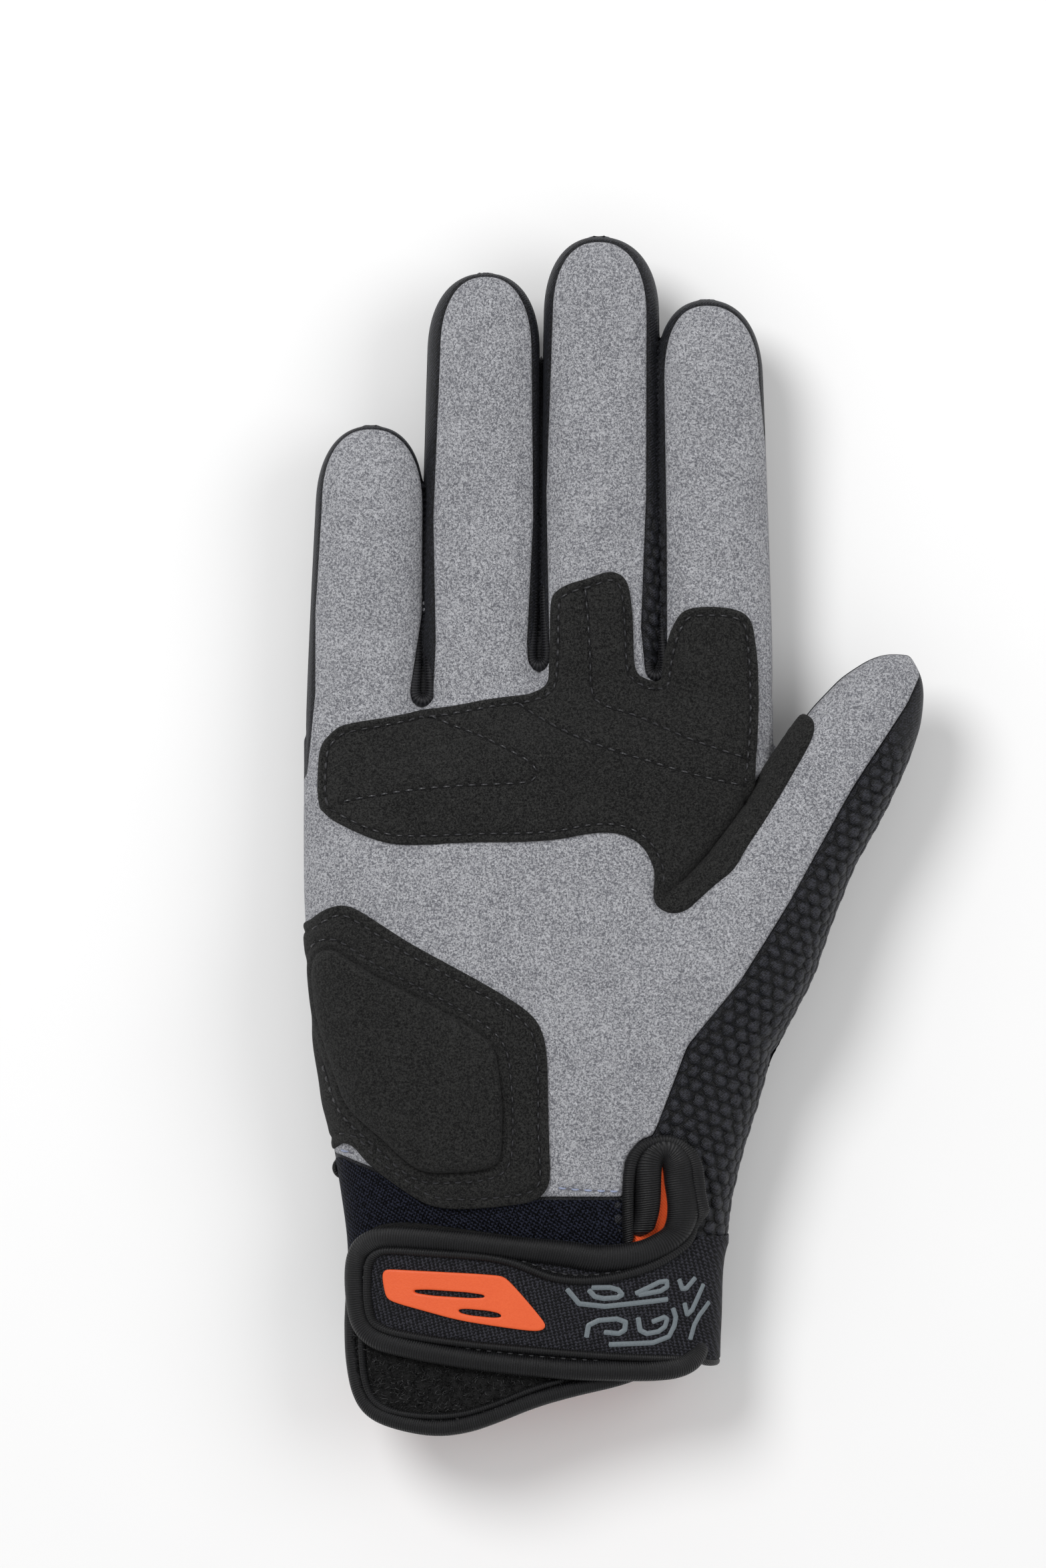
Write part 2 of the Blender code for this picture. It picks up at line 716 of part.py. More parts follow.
def make_patches():
    """The black suede overlays on the palm and the heel, and the raised pad."""
    finish("palm_patch", layer(GAP, PATCH, on_palm(PALM_PATCH_EDGE)), BLACK_SUEDE, 0.95)
    finish("heel_patch", layer(GAP, PATCH, on_palm(HEEL_PATCH_EDGE), SEAM_Z + GAP), BLACK_SUEDE, 0.95)
    finish("heel_pad", layer(PATCH + 2 * GAP, PAD, on_palm(HEEL_PAD_EDGE)), BLACK_SUEDE, 0.95)


def make_strap():
    """The loop tab, and over it the strap with its border and its badge."""
    tab_field = on_strap(TAB_FIELD_EDGE)
    finish("loop_tab", layer(GAP, TAB, moved_edge(tab_field, GAP)), BLACK_SUEDE, 1.0)
    border = layer(GAP, TAB, on_strap(TAB_EDGE))
    combine(border, prism(tab_field, 0, REACH), "DIFFERENCE")
    finish("loop_tab_binding", border, BLACK_SUEDE, 0.6)

    lift = GAP + TAB + GAP
    field = on_strap(STRAP_FIELD_EDGE)
    cutter = prism(moved_edge(field, GAP), SEAM_Z, REACH)
    top = STRAP_TOP_Y - WRAP_TOP * STRAP_WIDTH - GAP
    bottom = STRAP_TOP_Y - WRAP_BOTTOM * STRAP_WIDTH + GAP
    start = STRAP_LEFT_X + WRAP_START * STRAP_LENGTH
    wrap = prism(box_outline(start, REACH, bottom, top), -REACH, SEAM_Z + WALL)
    strap = combine(form_at(-lift - STRAP), combine(cutter, wrap, "UNION"), "INTERSECT")
    combine(strap, form_at(-lift), "DIFFERENCE")
    finish("strap", strap, NAVY, 0.85)

    border = layer(lift, STRAP + BORDER_RISE, on_strap(STRAP_EDGE))
    combine(border, prism(field, 0, REACH), "DIFFERENCE")
    cut = box_outline(STRAP_LEFT_X + BORDER_END * STRAP_LENGTH, FAR_REACH, WRIST_Y - REACH, REACH)
    combine(border, prism(cut, 0, REACH), "DIFFERENCE")
    finish("strap_binding", border, BLACK_SUEDE, 0.6)
    badge = layer(lift + STRAP + GAP, BADGE, on_strap(BADGE_EDGE))
    finish("strap_badge", badge, ORANGE, 0.5)


def make_gussets():
    """A fold of cloth in the bottom of each slot between two fingers."""
    for left, right in zip(FINGERS, FINGERS[1:]):
        x = (finger_root(left)[0] + finger_root(right)[0]) / 2
        y = crotch_y(x) + SLOT_ROUND * GUSSET_RISE
        rings = []
        for degrees in (-75, -40, 0, 40, 75):
            turn = math.radians(degrees)
            size = SLOT_ROUND * math.cos(turn)
            ring = []
            for i in range(FINGER_SIDES):
                angle = 2 * math.pi * i / FINGER_SIDES
                ring.append((x + size * math.cos(angle), y + GUSSET_LONG * size * math.sin(angle),
                             FINGER_MID_Z + FINGER_DEPTH / 2 * math.sin(turn)))
            rings.append(ring)
        blob = combine(loft(rings), form_at(-GAP), "DIFFERENCE")
        finish(f"gusset_{left.name}_{right.name}", blob, KNIT, 0.5)


def make_side_loop():
    """A small cord loop that sticks out of the side seam above the cuff."""
    bpy.ops.mesh.primitive_torus_add(
        major_segments=12, minor_segments=6,
        major_radius=(LOOP_SIZE - LOOP_CORD) / 2, minor_radius=LOOP_CORD / 2,
    )
    loop = bpy.context.object
    for home in list(loop.users_collection):
        home.objects.unlink(loop)
    cutters.objects.link(loop)
    loop.data.transform(Matrix.Translation((
        -mix(WRIST_WIDTH, PALM_WIDTH, LOOP_SECTION.left) / 2 - LOOP_CORD / 2,
        WRIST_Y + LOOP_SECTION.along * PALM_LENGTH, SEAM_Z + GAP + LOOP_CORD,
    )))
    combine(loop, form_at(-GAP), "DIFFERENCE")
    finish("side_loop", loop, BLACK_SUEDE, 0.6)


make_shell()
make_slit()
make_patches()
make_strap()
make_gussets()
make_side_loop()
for form in forms.values():
    bpy.data.objects.remove(form)
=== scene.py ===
"""A right-hand motorcycle glove lying palm up on a pale floor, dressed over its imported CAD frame."""
import math

import bpy
import numpy as np
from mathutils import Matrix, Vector, geometry, kdtree


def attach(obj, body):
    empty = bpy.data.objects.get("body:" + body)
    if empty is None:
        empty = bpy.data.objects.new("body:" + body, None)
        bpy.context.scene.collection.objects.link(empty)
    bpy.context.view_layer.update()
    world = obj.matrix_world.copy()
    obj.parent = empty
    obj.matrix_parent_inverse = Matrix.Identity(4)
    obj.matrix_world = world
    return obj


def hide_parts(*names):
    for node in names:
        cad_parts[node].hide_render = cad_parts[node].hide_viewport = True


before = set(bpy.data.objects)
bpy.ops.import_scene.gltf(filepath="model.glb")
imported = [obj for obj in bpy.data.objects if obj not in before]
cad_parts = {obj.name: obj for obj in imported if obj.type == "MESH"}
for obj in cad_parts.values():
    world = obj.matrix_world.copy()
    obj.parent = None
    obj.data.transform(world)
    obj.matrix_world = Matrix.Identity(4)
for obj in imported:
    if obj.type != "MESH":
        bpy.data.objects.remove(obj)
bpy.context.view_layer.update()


# The grey front: one piece of synthetic suede, cut for the palm, four fingers and the thumb,
# with a dark rim left beside each finger and a slot at each crotch. It is sewn to the knit
# along its edge. All sizes here are millimetres, in the frame of the CAD model.
PALM_WIDTH, PALM_LENGTH, PALM_DEPTH = 99.0, 120.6, 33.0
WRIST_WIDTH, WRIST_DEPTH, WRIST_Y, WRIST_Z = 80.0, 24.0, -85.4, 4.3
KNUCKLE_ROUND, BACK_SINK = 16.0, 1.0
FINGER_HALF, FINGER_DEPTH, FINGER_MID_Z, FINGER_ROOT = 12.2, 19.0, 15.0, 18.0
FINGER_TAPER, TIP_ROUND, FINGER_SQUARE, HAND_SQUARE = 0.07, 1.40, 2.45, 2.9
THUMB_LENGTH, THUMB_WIDTH, THUMB_DEPTH = 43.6, 26.5, 22.0
THUMB_X, THUMB_Y, THUMB_LEAN = 55.0, 0.1, math.radians(31.2)
RIM, SLOT_ROUND = 2.0, 2.2
# across as a share of the palm width, length, lean, curl, rim at the left and at the right
FINGERS = (
    (-0.372, 61.5, 0.027, 0.080, 1.0, -0.1),
    (-0.124, 86.0, 0.013, 0.065, 1.10, 0.50),
    (0.124, 91.0, 0.002, 0.060, 0.66, 0.95),
    (0.372, 81.5, -0.021, 0.060, 1.00, -0.3),
)
# the rims at each finger's root, at the left and at the right, and the rise of each slot
ROOT_RIMS = ((1.0, 1.15), (1.35, 1.15), (0.95, 1.5), (1.05, -0.3))
SLOT_RISE = (1.0, 1.9, 1.3)
# how much wider each finger is at its left and right side, and the rims of its tip: left, right, top
FINGER_EXTRA = ((0.0, 0.0), (0.8, 0.2), (0.1, 1.6), (-0.5, 0.3))
TIP_RIMS = ((0.9, 0.5, 0.8), (1.7, 1.6, 0.9), (1.6, 1.2, 1.3), (2.3, 0.3, 1.4))
TIP_SQUARE = 2.3
# the hem, where the grey front is sewn to the cuff
HEM = ((-99.0, -66.0), (-41.7, -67.2), (-34.4, -69.9), (-26.0, -74.6), (-16.0, -75.7), (17.8, -75.7))


def mix(low, high, share):
    return low + (high - low) * share


def ease(low, high, value):
    """A smooth step from 0 to 1 between two values."""
    share = np.clip((value - low) / (high - low), 0, 1)
    return share * share * (3 - 2 * share)


def smooth_line(keys, values, blur):
    """A smooth curve through a short table."""
    grid = np.linspace(keys[0], keys[-1], 500)
    line = np.interp(grid, keys, values)
    reach = int(3 * blur / (grid[1] - grid[0]))
    weight = np.exp(-0.5 * (np.linspace(-3, 3, 2 * reach + 1)) ** 2)
    start, end = 2 * line[0] - line[reach:0:-1], 2 * line[-1] - line[-2:-reach - 2:-1]
    line = np.convolve(np.concatenate([start, line, end]), weight / weight.sum(), "valid")
    return lambda value: np.interp(value, grid, line)


ALONG = (-0.40, 0.0, 0.045, 0.14, 0.28, 0.42, 0.51, 0.60, 0.69, 0.76, 0.85)
hand_left = smooth_line(ALONG, (0, 0, 0.08, 0.24, 0.55, 0.79, 0.88, 0.94, 1, 1, 1), 0.035)
hand_right = smooth_line(
    ALONG, (-0.60, -0.46, 0.02, 0.22, 0.76, 1.10, 0.60, 0.02, 0.10, 0.62, 0.98), 0.035)
hand_back = smooth_line(ALONG, (0, 0, 0.12, 0.60, 1, 1, 1, 1, 1, 1, 0.95), 0.035)
hand_front = smooth_line(
    ALONG, (0, 0, 0.25, 0.70, 1.10, 1.15, 1.05, 0.95, 0.75, 0.60, 0.40), 0.035)
crotch_drop = smooth_line((-0.5, -0.25, 0, 0.25, 0.5), (0.125, 0.060, 0, 0.016, 0.062), 0.045)
THUMB_ALONG = (-1.35, -0.904, -0.564, -0.296, 0, 0.29, 0.55, 0.74, 0.88, 0.965, 1.0)
thumb_wide = smooth_line(
    THUMB_ALONG, (1.25, 1.43, 1.36, 1.16, 1, 0.97, 0.88, 0.74, 0.52, 0.29, 0.0), 0.03)
thumb_deep = smooth_line(
    THUMB_ALONG, (1.15, 1.42, 1.38, 1.20, 1, 0.94, 0.84, 0.72, 0.54, 0.32, 0.0), 0.03)
thumb_mid = smooth_line(
    THUMB_ALONG, (0.76, 0.82, 0.86, 0.88, 0.87, 0.88, 0.92, 0.96, 1, 1.03, 1.04), 0.03)


def crotch_y(x):
    return WRIST_Y + PALM_LENGTH * (1 - crotch_drop(np.clip(x / PALM_WIDTH, -0.5, 0.5)))


def tube(side, half, mid, depth, square):
    """How far a point lies inside a flattened tube, and the tube's front and back there."""
    inside = half - np.abs(side)
    share = np.clip(np.abs(side) / np.maximum(half, 0.01), 0, 1)
    rise = depth * (1 - share ** square) ** (1 / square)
    fall = 2.0 * np.maximum(-inside, 0)
    return inside, mid + rise - fall, mid - rise + fall


def hand_section(along):
    """The hand's reach to its left and right, and its low and high side, at a share of the palm."""
    return (mix(WRIST_WIDTH, PALM_WIDTH, hand_left(along)) / 2,
            mix(WRIST_WIDTH, PALM_WIDTH, hand_right(along)) / 2,
            mix(WRIST_Z, -BACK_SINK, hand_back(along)),
            mix(WRIST_Z + WRIST_DEPTH, PALM_DEPTH, hand_front(along)))


def hand_form(x, y):
    """The palm and wrist: how far inside a point lies, and the front and back there."""
    crotch = crotch_y(x)
    reach = np.where(y > WRIST_Y, crotch - WRIST_Y, PALM_LENGTH)
    left, right, low, high = hand_section(np.clip((y - WRIST_Y) / reach, ALONG[0], ALONG[-1]))
    below = crotch - y
    turn = 1 - np.clip(below / KNUCKLE_ROUND, 0, 1)
    close = np.sqrt(np.maximum(1 - turn * turn, 0))
    end = ease(20, 8, below) * 0.5
    high = mix(high, FINGER_MID_Z + FINGER_DEPTH / 2, end)
    low = mix(low, FINGER_MID_Z - FINGER_DEPTH / 2, end)
    mid, depth = (low + high) / 2, (high - low) / 2 * close
    inside, front, back = tube(x - (right - left) / 2, (left + right) / 2, mid, depth, HAND_SQUARE)
    past = 2.0 * np.maximum(-below, 0)
    return np.minimum(inside, below), front - past, back + past


def finger_form(finger, x, y):
    """One finger of the table, in the same terms."""
    across, length, lean, curl = finger[:4]
    x0 = across * PALM_WIDTH
    y0 = float(crotch_y(x0))
    more_left, more_right = FINGER_EXTRA[FINGERS.index(finger)]
    tip = TIP_ROUND * FINGER_HALF
    along = np.maximum((y - y0) / length, 0)
    beyond = np.clip((y - y0 - length + tip) / tip, 0, 1)
    narrow = (1 - FINGER_TAPER * np.clip((y - y0) / (length - tip), 0, 1) ** 1.5)
    narrow = narrow * (1 - beyond ** TIP_SQUARE) ** (1 / TIP_SQUARE)
    past = np.maximum(np.maximum(y - y0 - length, y0 - FINGER_ROOT - y), 0)
    fuller = ease(-4, 10, y - y0) * narrow
    inside, front, back = tube(
        x - x0 - lean * length * along - (more_right - more_left) / 2 * fuller,
        FINGER_HALF * narrow + (more_right + more_left) / 2 * fuller,
        FINGER_MID_Z + curl * length * along ** 2,
        FINGER_DEPTH / 2 * mix(1, narrow, 0.9), FINGER_SQUARE)
    return inside - past, front - 2 * past, back + 2 * past


def thumb_form(x, y):
    """The thumb, in the same terms."""
    along_x, along_y = math.sin(THUMB_LEAN), math.cos(THUMB_LEAN)
    along = ((x - THUMB_X) * along_x + (y - THUMB_Y) * along_y) / THUMB_LENGTH
    side = (x - THUMB_X) * along_y - (y - THUMB_Y) * along_x
    held = np.clip(along, THUMB_ALONG[0], THUMB_ALONG[-1])
    past = np.abs(along - held) * THUMB_LENGTH
    inside, front, back = tube(
        side, THUMB_WIDTH / 2 * thumb_wide(held), THUMB_DEPTH * thumb_mid(held),
        THUMB_DEPTH / 2 * thumb_deep(held), FINGER_SQUARE)
    return inside - past, front - 2 * past, back + 2 * past


def blended(first, second, round_):
    """The larger of two values, rounded where they meet."""
    near = np.maximum(round_ - np.abs(first - second), 0) / round_
    return np.maximum(first, second) + near * near * round_ / 4


def glove_form(x, y):
    """How far a point lies inside the glove's outline, and the glove's front and back there."""
    fingers = [finger_form(finger, x, y) for finger in FINGERS]
    inside = np.maximum.reduce([form[0] for form in fingers])
    front = np.maximum.reduce([form[1] for form in fingers])
    back = np.minimum.reduce([form[2] for form in fingers])
    hand, thumb = hand_form(x, y), thumb_form(x, y)
    inside = blended(np.maximum(inside, hand[0]), thumb[0], 2.5)
    front = blended(blended(front, hand[1], 5.0), thumb[1], 2.2)
    back = -blended(blended(-back, -hand[2], 5.0), -thumb[2], 3.0)
    return inside, np.maximum(front, back + 0.2), back


def glove_inside(x, y):
    return glove_form(x, y)[0]


def front_z(x, y):
    return glove_form(x, y)[1]


def back_z(x, y):
    return np.maximum(glove_form(x, y)[2], 0.0)


def smooth_outline(corners, steps=6):
    """A closed outline through x, y, radius corners, with an arc at each radius."""
    made = []
    for i, (x, y, radius) in enumerate(corners):
        here = np.array((x, y), float)
        before = np.array(corners[i - 1][:2], float) - here
        after = np.array(corners[(i + 1) % len(corners)][:2], float) - here
        long_before, long_after = np.linalg.norm(before), np.linalg.norm(after)
        if radius <= 0:
            made.append(here)
            continue
        turn = math.acos(np.clip(before @ after / (long_before * long_after), -1, 1))
        reach = min(radius / math.tan(turn / 2), 0.45 * long_before, 0.45 * long_after)
        start, end = here + before / long_before * reach, here + after / long_after * reach
        for step in range(steps + 1):
            t = step / steps
            made.append(start * (1 - t) ** 2 + here * 2 * t * (1 - t) + end * t ** 2)
    return np.array(made)


def from_segment(x, y, start, end):
    """The square of the distance to a segment, and the share along it of the nearest point."""
    ex, ey = end[0] - start[0], end[1] - start[1]
    t = np.clip(((x - start[0]) * ex + (y - start[1]) * ey) / max(ex * ex + ey * ey, 1e-9), 0, 1)
    return (x - start[0] - t * ex) ** 2 + (y - start[1] - t * ey) ** 2, t


def outline_inside(outline, x, y):
    """The signed distance from an outline, above zero inside it."""
    best = np.full(np.shape(x), 1e9)
    odd = np.zeros(np.shape(x), bool)
    for (ax, ay), (bx, by) in zip(outline, np.roll(outline, -1, axis=0)):
        best = np.minimum(best, from_segment(x, y, (ax, ay), (bx, by))[0])
        if ay != by:
            odd ^= ((ay > y) != (by > y)) & (x < (bx - ax) * (y - ay) / (by - ay) + ax)
    return np.where(odd, 1, -1) * np.sqrt(best)


def edges_of(field, xs, ys):
    """Closed lines where a field on a grid passes zero."""
    linked = {}
    sign = field > 0
    cells = np.argwhere(
        (sign[:-1, :-1] != sign[1:, :-1]) | (sign[:-1, :-1] != sign[:-1, 1:])
        | (sign[:-1, :-1] != sign[1:, 1:]))
    for i, j in cells.tolist():
        crossed = []
        if sign[i, j] != sign[i + 1, j]:
            crossed.append((0, i, j))
        if sign[i + 1, j] != sign[i + 1, j + 1]:
            crossed.append((1, i + 1, j))
        if sign[i, j + 1] != sign[i + 1, j + 1]:
            crossed.append((0, i, j + 1))
        if sign[i, j] != sign[i, j + 1]:
            crossed.append((1, i, j))
        for a, b in zip(crossed[::2], crossed[1::2]):
            linked.setdefault(a, []).append(b)
            linked.setdefault(b, []).append(a)
    lines = []
    while linked:
        start = next(iter(linked))
        line, here = [], start
        while here in linked:
            line.append(here)
            near = linked.pop(here)
            here = next((edge for edge in near if edge in linked), None)
        points = []
        for way, i, j in line:
            i2, j2 = (i + 1, j) if way == 0 else (i, j + 1)
            share = field[i, j] / (field[i, j] - field[i2, j2])
            points.append((mix(xs[i], xs[i2], share), mix(ys[j], ys[j2], share)))
        lines.append(np.array(points))
    return lines


def evenly(line, step, closed=True):
    """The same line with its points one step apart."""
    if closed:
        line = np.vstack([line, line[:1]])
    run = np.concatenate([[0], np.cumsum(np.linalg.norm(np.diff(line, axis=0), axis=1))])
    count = max(6, int(round(run[-1] / step)))
    at = np.linspace(0, run[-1], count, endpoint=False) if closed else np.linspace(0, run[-1], count)
    return np.stack([np.interp(at, run, line[:, k]) for k in range(line.shape[1])], axis=1)


GRID = 0.3


def cut_cloth(inside, box, spacing, rows=(0.04, 0.12, 0.25, 0.42, 0.65, 0.95), step=0.5):
    """A flat cloth mesh in an outline: points, faces, edge loops, and distances from the edge."""
    xs = np.arange(box[0] - 2, box[1] + 2, GRID)
    ys = np.arange(box[2] - 2, box[3] + 2, GRID)
    field = inside(*np.meshgrid(xs, ys, indexing="ij"))
    field[0], field[-1], field[:, 0], field[:, -1] = -1, -1, -1, -1

    def read(x, y):
        i = np.clip(((x - xs[0]) / GRID).astype(int), 0, len(xs) - 2)
        j = np.clip(((y - ys[0]) / GRID).astype(int), 0, len(ys) - 2)
        u, v = (x - xs[i]) / GRID, (y - ys[j]) / GRID
        return mix(mix(field[i, j], field[i + 1, j], u), mix(field[i, j + 1], field[i + 1, j + 1], u), v)

    points, joins, loops, normals = [], [], [], []
    for line in edges_of(field, xs, ys):
        if len(line) < 25:
            continue
        line = evenly(line, step)
        for _ in range(2):
            line = (np.roll(line, 1, axis=0) + 2 * line + np.roll(line, -1, axis=0)) / 4
        tangent = np.roll(line, -1, axis=0) - np.roll(line, 1, axis=0)
        normal = np.stack([-tangent[:, 1], tangent[:, 0]], axis=1)
        normal /= np.linalg.norm(normal, axis=1)[:, None]
        ahead, behind = line + 0.4 * normal, line - 0.4 * normal
        if (read(*ahead.T) - read(*behind.T)).sum() < 0:
            normal = -normal
        first = sum(len(loop) for loop in loops)
        loop = np.arange(first, first + len(line))
        loops.append(loop)
        points.append(line)
        normals.append(normal)
        joins += list(zip(loop.tolist(), np.roll(loop, -1).tolist()))
    edge = np.vstack(points)
    normal = np.vstack(normals)
    count = len(edge)
    tree = kdtree.KDTree(count * 4)
    following = np.arange(count)
    for loop in loops:
        following[loop] = np.roll(loop, -1)
    for k in range(4):
        for i, (x, y) in enumerate(mix(edge, edge[following], k / 4).tolist()):
            tree.insert((x, y, 0), i)
    tree.balance()

    def distance(place):
        return np.array([tree.find((x, y, 0))[2] for x, y in place.tolist()])

    kept, far = [edge], [np.zeros(count)]
    for row in rows:
        place = edge + normal * row
        good = distance(place) > 0.93 * row
        kept.append(place[good])
        far.append(np.full(good.sum(), row))
    rise = spacing * math.sqrt(3) / 2
    gx = np.arange(box[0] - 1, box[1] + 1, spacing)
    gy = np.arange(box[2] - 1, box[3] + 1, rise)
    mx, my = np.meshgrid(gx, gy, indexing="ij")
    mx = mx + np.where(np.arange(len(gy)) % 2, spacing / 2, 0)[None, :]
    place = np.stack([mx.ravel(), my.ravel()], axis=1)
    place = place[read(*place.T) > 0]
    off = distance(place)
    good = off > rows[-1] + 0.45 * spacing
    kept.append(place[good])
    far.append(off[good])
    flat, off = np.vstack(kept), np.concatenate(far)
    made = geometry.delaunay_2d_cdt([Vector(p) for p in flat.tolist()], joins, [], 0, 1e-7)
    origin = np.array([o[0] if o else 0 for o in made[3]])
    spots = np.array([tuple(v) for v in made[0]])
    faces = np.array([face for face in made[2] if len(face) == 3])
    middle = spots[faces].mean(axis=1)
    on_edge = (origin[faces] < count).all(axis=1)
    keep = ~(on_edge & (read(*middle.T) < 0))
    faces = origin[faces[keep]]
    solid = (faces[:, 0] != faces[:, 1]) & (faces[:, 1] != faces[:, 2]) & (faces[:, 0] != faces[:, 2])
    return flat, faces[solid], loops, off


def surface_normals(surface, x, y, down=False):
    """Which way a height surface faces, upwards or, for the back, downwards."""
    e = 0.12
    dx = (surface(x + e, y) - surface(x - e, y)) / (2 * e)
    dy = (surface(x, y + e) - surface(x, y - e)) / (2 * e)
    normal = np.stack([-dx, -dy, np.ones_like(dx)], axis=1)
    normal /= np.linalg.norm(normal, axis=1)[:, None]
    return -normal if down else normal


def draped(flat, surface, lift, down=False):
    """Points of a flat cloth laid on a height surface, lifted along its normals, and the normals."""
    x, y = flat.T
    normal = surface_normals(surface, x, y, down)
    place = np.stack([x, y, surface(x, y)], axis=1)
    return place + normal * np.reshape(lift, (-1, 1)), normal


def rolled(off, depth, width):
    """How far a cloth edge turns down, from its distance to the edge."""
    share = np.clip(1 - off / width, 0, 1)
    return -depth * (1 - np.sqrt(1 - share ** 2))


def hemmed(place, normal, faces, loops, depth):
    """Adds the cut side of a cloth all round its edge."""
    places, sides, count = [place], [faces], len(place)
    for loop in loops:
        low = place[loop] - normal[loop] * depth
        places.append(low)
        top, top_next = loop, np.roll(loop, -1)
        under = np.arange(count, count + len(loop))
        under_next = np.roll(under, -1)
        sides.append(np.stack([top, under, under_next], axis=1))
        sides.append(np.stack([top, under_next, top_next], axis=1))
        count += len(loop)
    return np.vstack(places), np.vstack(sides)


def two_layers(faces, loops, count, top=None, is_open=None):
    """Faces of a cloth of two layers, which are closed all round but where its edge is open."""
    sides = [faces if top is None else top, faces[:, ::-1] + count]
    for loop in loops:
        after = np.roll(loop, -1)
        if is_open is not None:
            shut = ~is_open(loop, after)
            loop, after = loop[shut], after[shut]
        sides.append(np.stack([loop, loop + count, after + count], axis=1))
        sides.append(np.stack([loop, after + count, after], axis=1))
    return np.vstack(sides)


def new_piece(name, place, faces, finish, slot, sharp=50, **values):
    """A mesh object from millimetre points, with named values on its points, riding on the root."""
    mesh = bpy.data.meshes.new(name)
    mesh.from_pydata((np.asarray(place) * 0.001).tolist(), [], np.asarray(faces).tolist())
    mesh.validate()
    for key, value in values.items():
        layer = mesh.attributes.new(key, "FLOAT", "POINT")
        filled = np.zeros(len(mesh.vertices), np.float32)
        filled[:len(value)] = value
        layer.data.foreach_set("value", filled)
    piece = bpy.data.objects.new(name, mesh)
    bpy.context.scene.collection.objects.link(piece)
    mesh.materials.append(finish)
    mesh.shade_smooth()
    mesh.set_sharp_from_angle(angle=math.radians(sharp))
    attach(piece, "root")
    return piece


class Wire:
    """A value in a material, which adds its Math nodes when it is used in an expression."""

    def __init__(self, tree, socket):
        self.tree, self.socket = tree, socket

    def joined(self, operation, *values):
        node = self.tree.nodes.new("ShaderNodeMath")
        node.operation = operation
        for slot, value in zip(node.inputs, values):
            if isinstance(value, Wire):
                self.tree.links.new(value.socket, slot)
            else:
                slot.default_value = value
        return Wire(self.tree, node.outputs[0])

    def __add__(self, other):
        return self.joined("ADD", self, other)

    def __sub__(self, other):
        return self.joined("SUBTRACT", self, other)

    def __rsub__(self, other):
        return self.joined("SUBTRACT", other, self)

    def __mul__(self, other):
        return self.joined("MULTIPLY", self, other)

    def __truediv__(self, other):
        return self.joined("DIVIDE", self, other)

    def __rtruediv__(self, other):
        return self.joined("DIVIDE", other, self)

    def __pow__(self, other):
        return self.joined("POWER", self, other)

    def __rpow__(self, other):
        return self.joined("POWER", other, self)

    __radd__, __rmul__ = __add__, __mul__


class Finish:
    """One material: a method that adds any node, and one that feeds the shader."""

    def __init__(self, name, **constants):
        self.material = bpy.data.materials.new(name)
        self.material.use_nodes = True
        self.tree = self.material.node_tree
        self.shader = self.tree.nodes["Principled BSDF"]
        for key, value in constants.items():
            self.shader.inputs[key.replace("_", " ")].default_value = value

    def node(self, kind, settings=(), sockets=(), out=0):
        made = self.tree.nodes.new("ShaderNode" + kind)
        for key, value in dict(settings).items():
            if key == "stops":
                for stop, (at, color) in zip(made.color_ramp.elements, value):
                    stop.position, stop.color = at, color
            else:
                setattr(made, key, value)
        for key, value in dict(sockets).items():
            if isinstance(value, Wire):
                self.tree.links.new(value.socket, made.inputs[key])
            else:
                made.inputs[key].default_value = value
        return Wire(self.tree, made.outputs[out])

    def place(self):
        return self.node("TexCoord", out=3)

    def value(self, name):
        return self.node("Attribute", {"attribute_name": name}, out=2)

    def parts(self, vector):
        split = self.node("SeparateXYZ", {}, {0: vector})
        return [Wire(self.tree, output) for output in split.socket.node.outputs]

    def turned(self, vector, scale, turn=0.0):
        return self.node("Mapping", {}, {0: vector, "Rotation": (0, 0, turn), "Scale": scale})

    def noise(self, vector, scale, detail=2.0, rough=0.5, distort=0.0):
        return self.node("TexNoise", {}, {
            "Vector": vector, "Scale": scale, "Detail": detail, "Roughness": rough,
            "Distortion": distort})

    def between(self, low, high, share):
        return self.node("Mix", {"data_type": "RGBA"}, {0: share, 6: (*low, 1), 7: (*high, 1)}, out=2)

    def paint(self, color=None, roughness=None, height=None, deep=0.0001):
        for key, value in (("Base Color", color), ("Roughness", roughness)):
            if isinstance(value, Wire):
                self.tree.links.new(value.socket, self.shader.inputs[key])
        if height is not None:
            bump = self.node("Bump", {}, {"Height": height, "Distance": deep, "Strength": 1.0})
            self.tree.links.new(bump.socket, self.shader.inputs["Normal"])
        return self.material


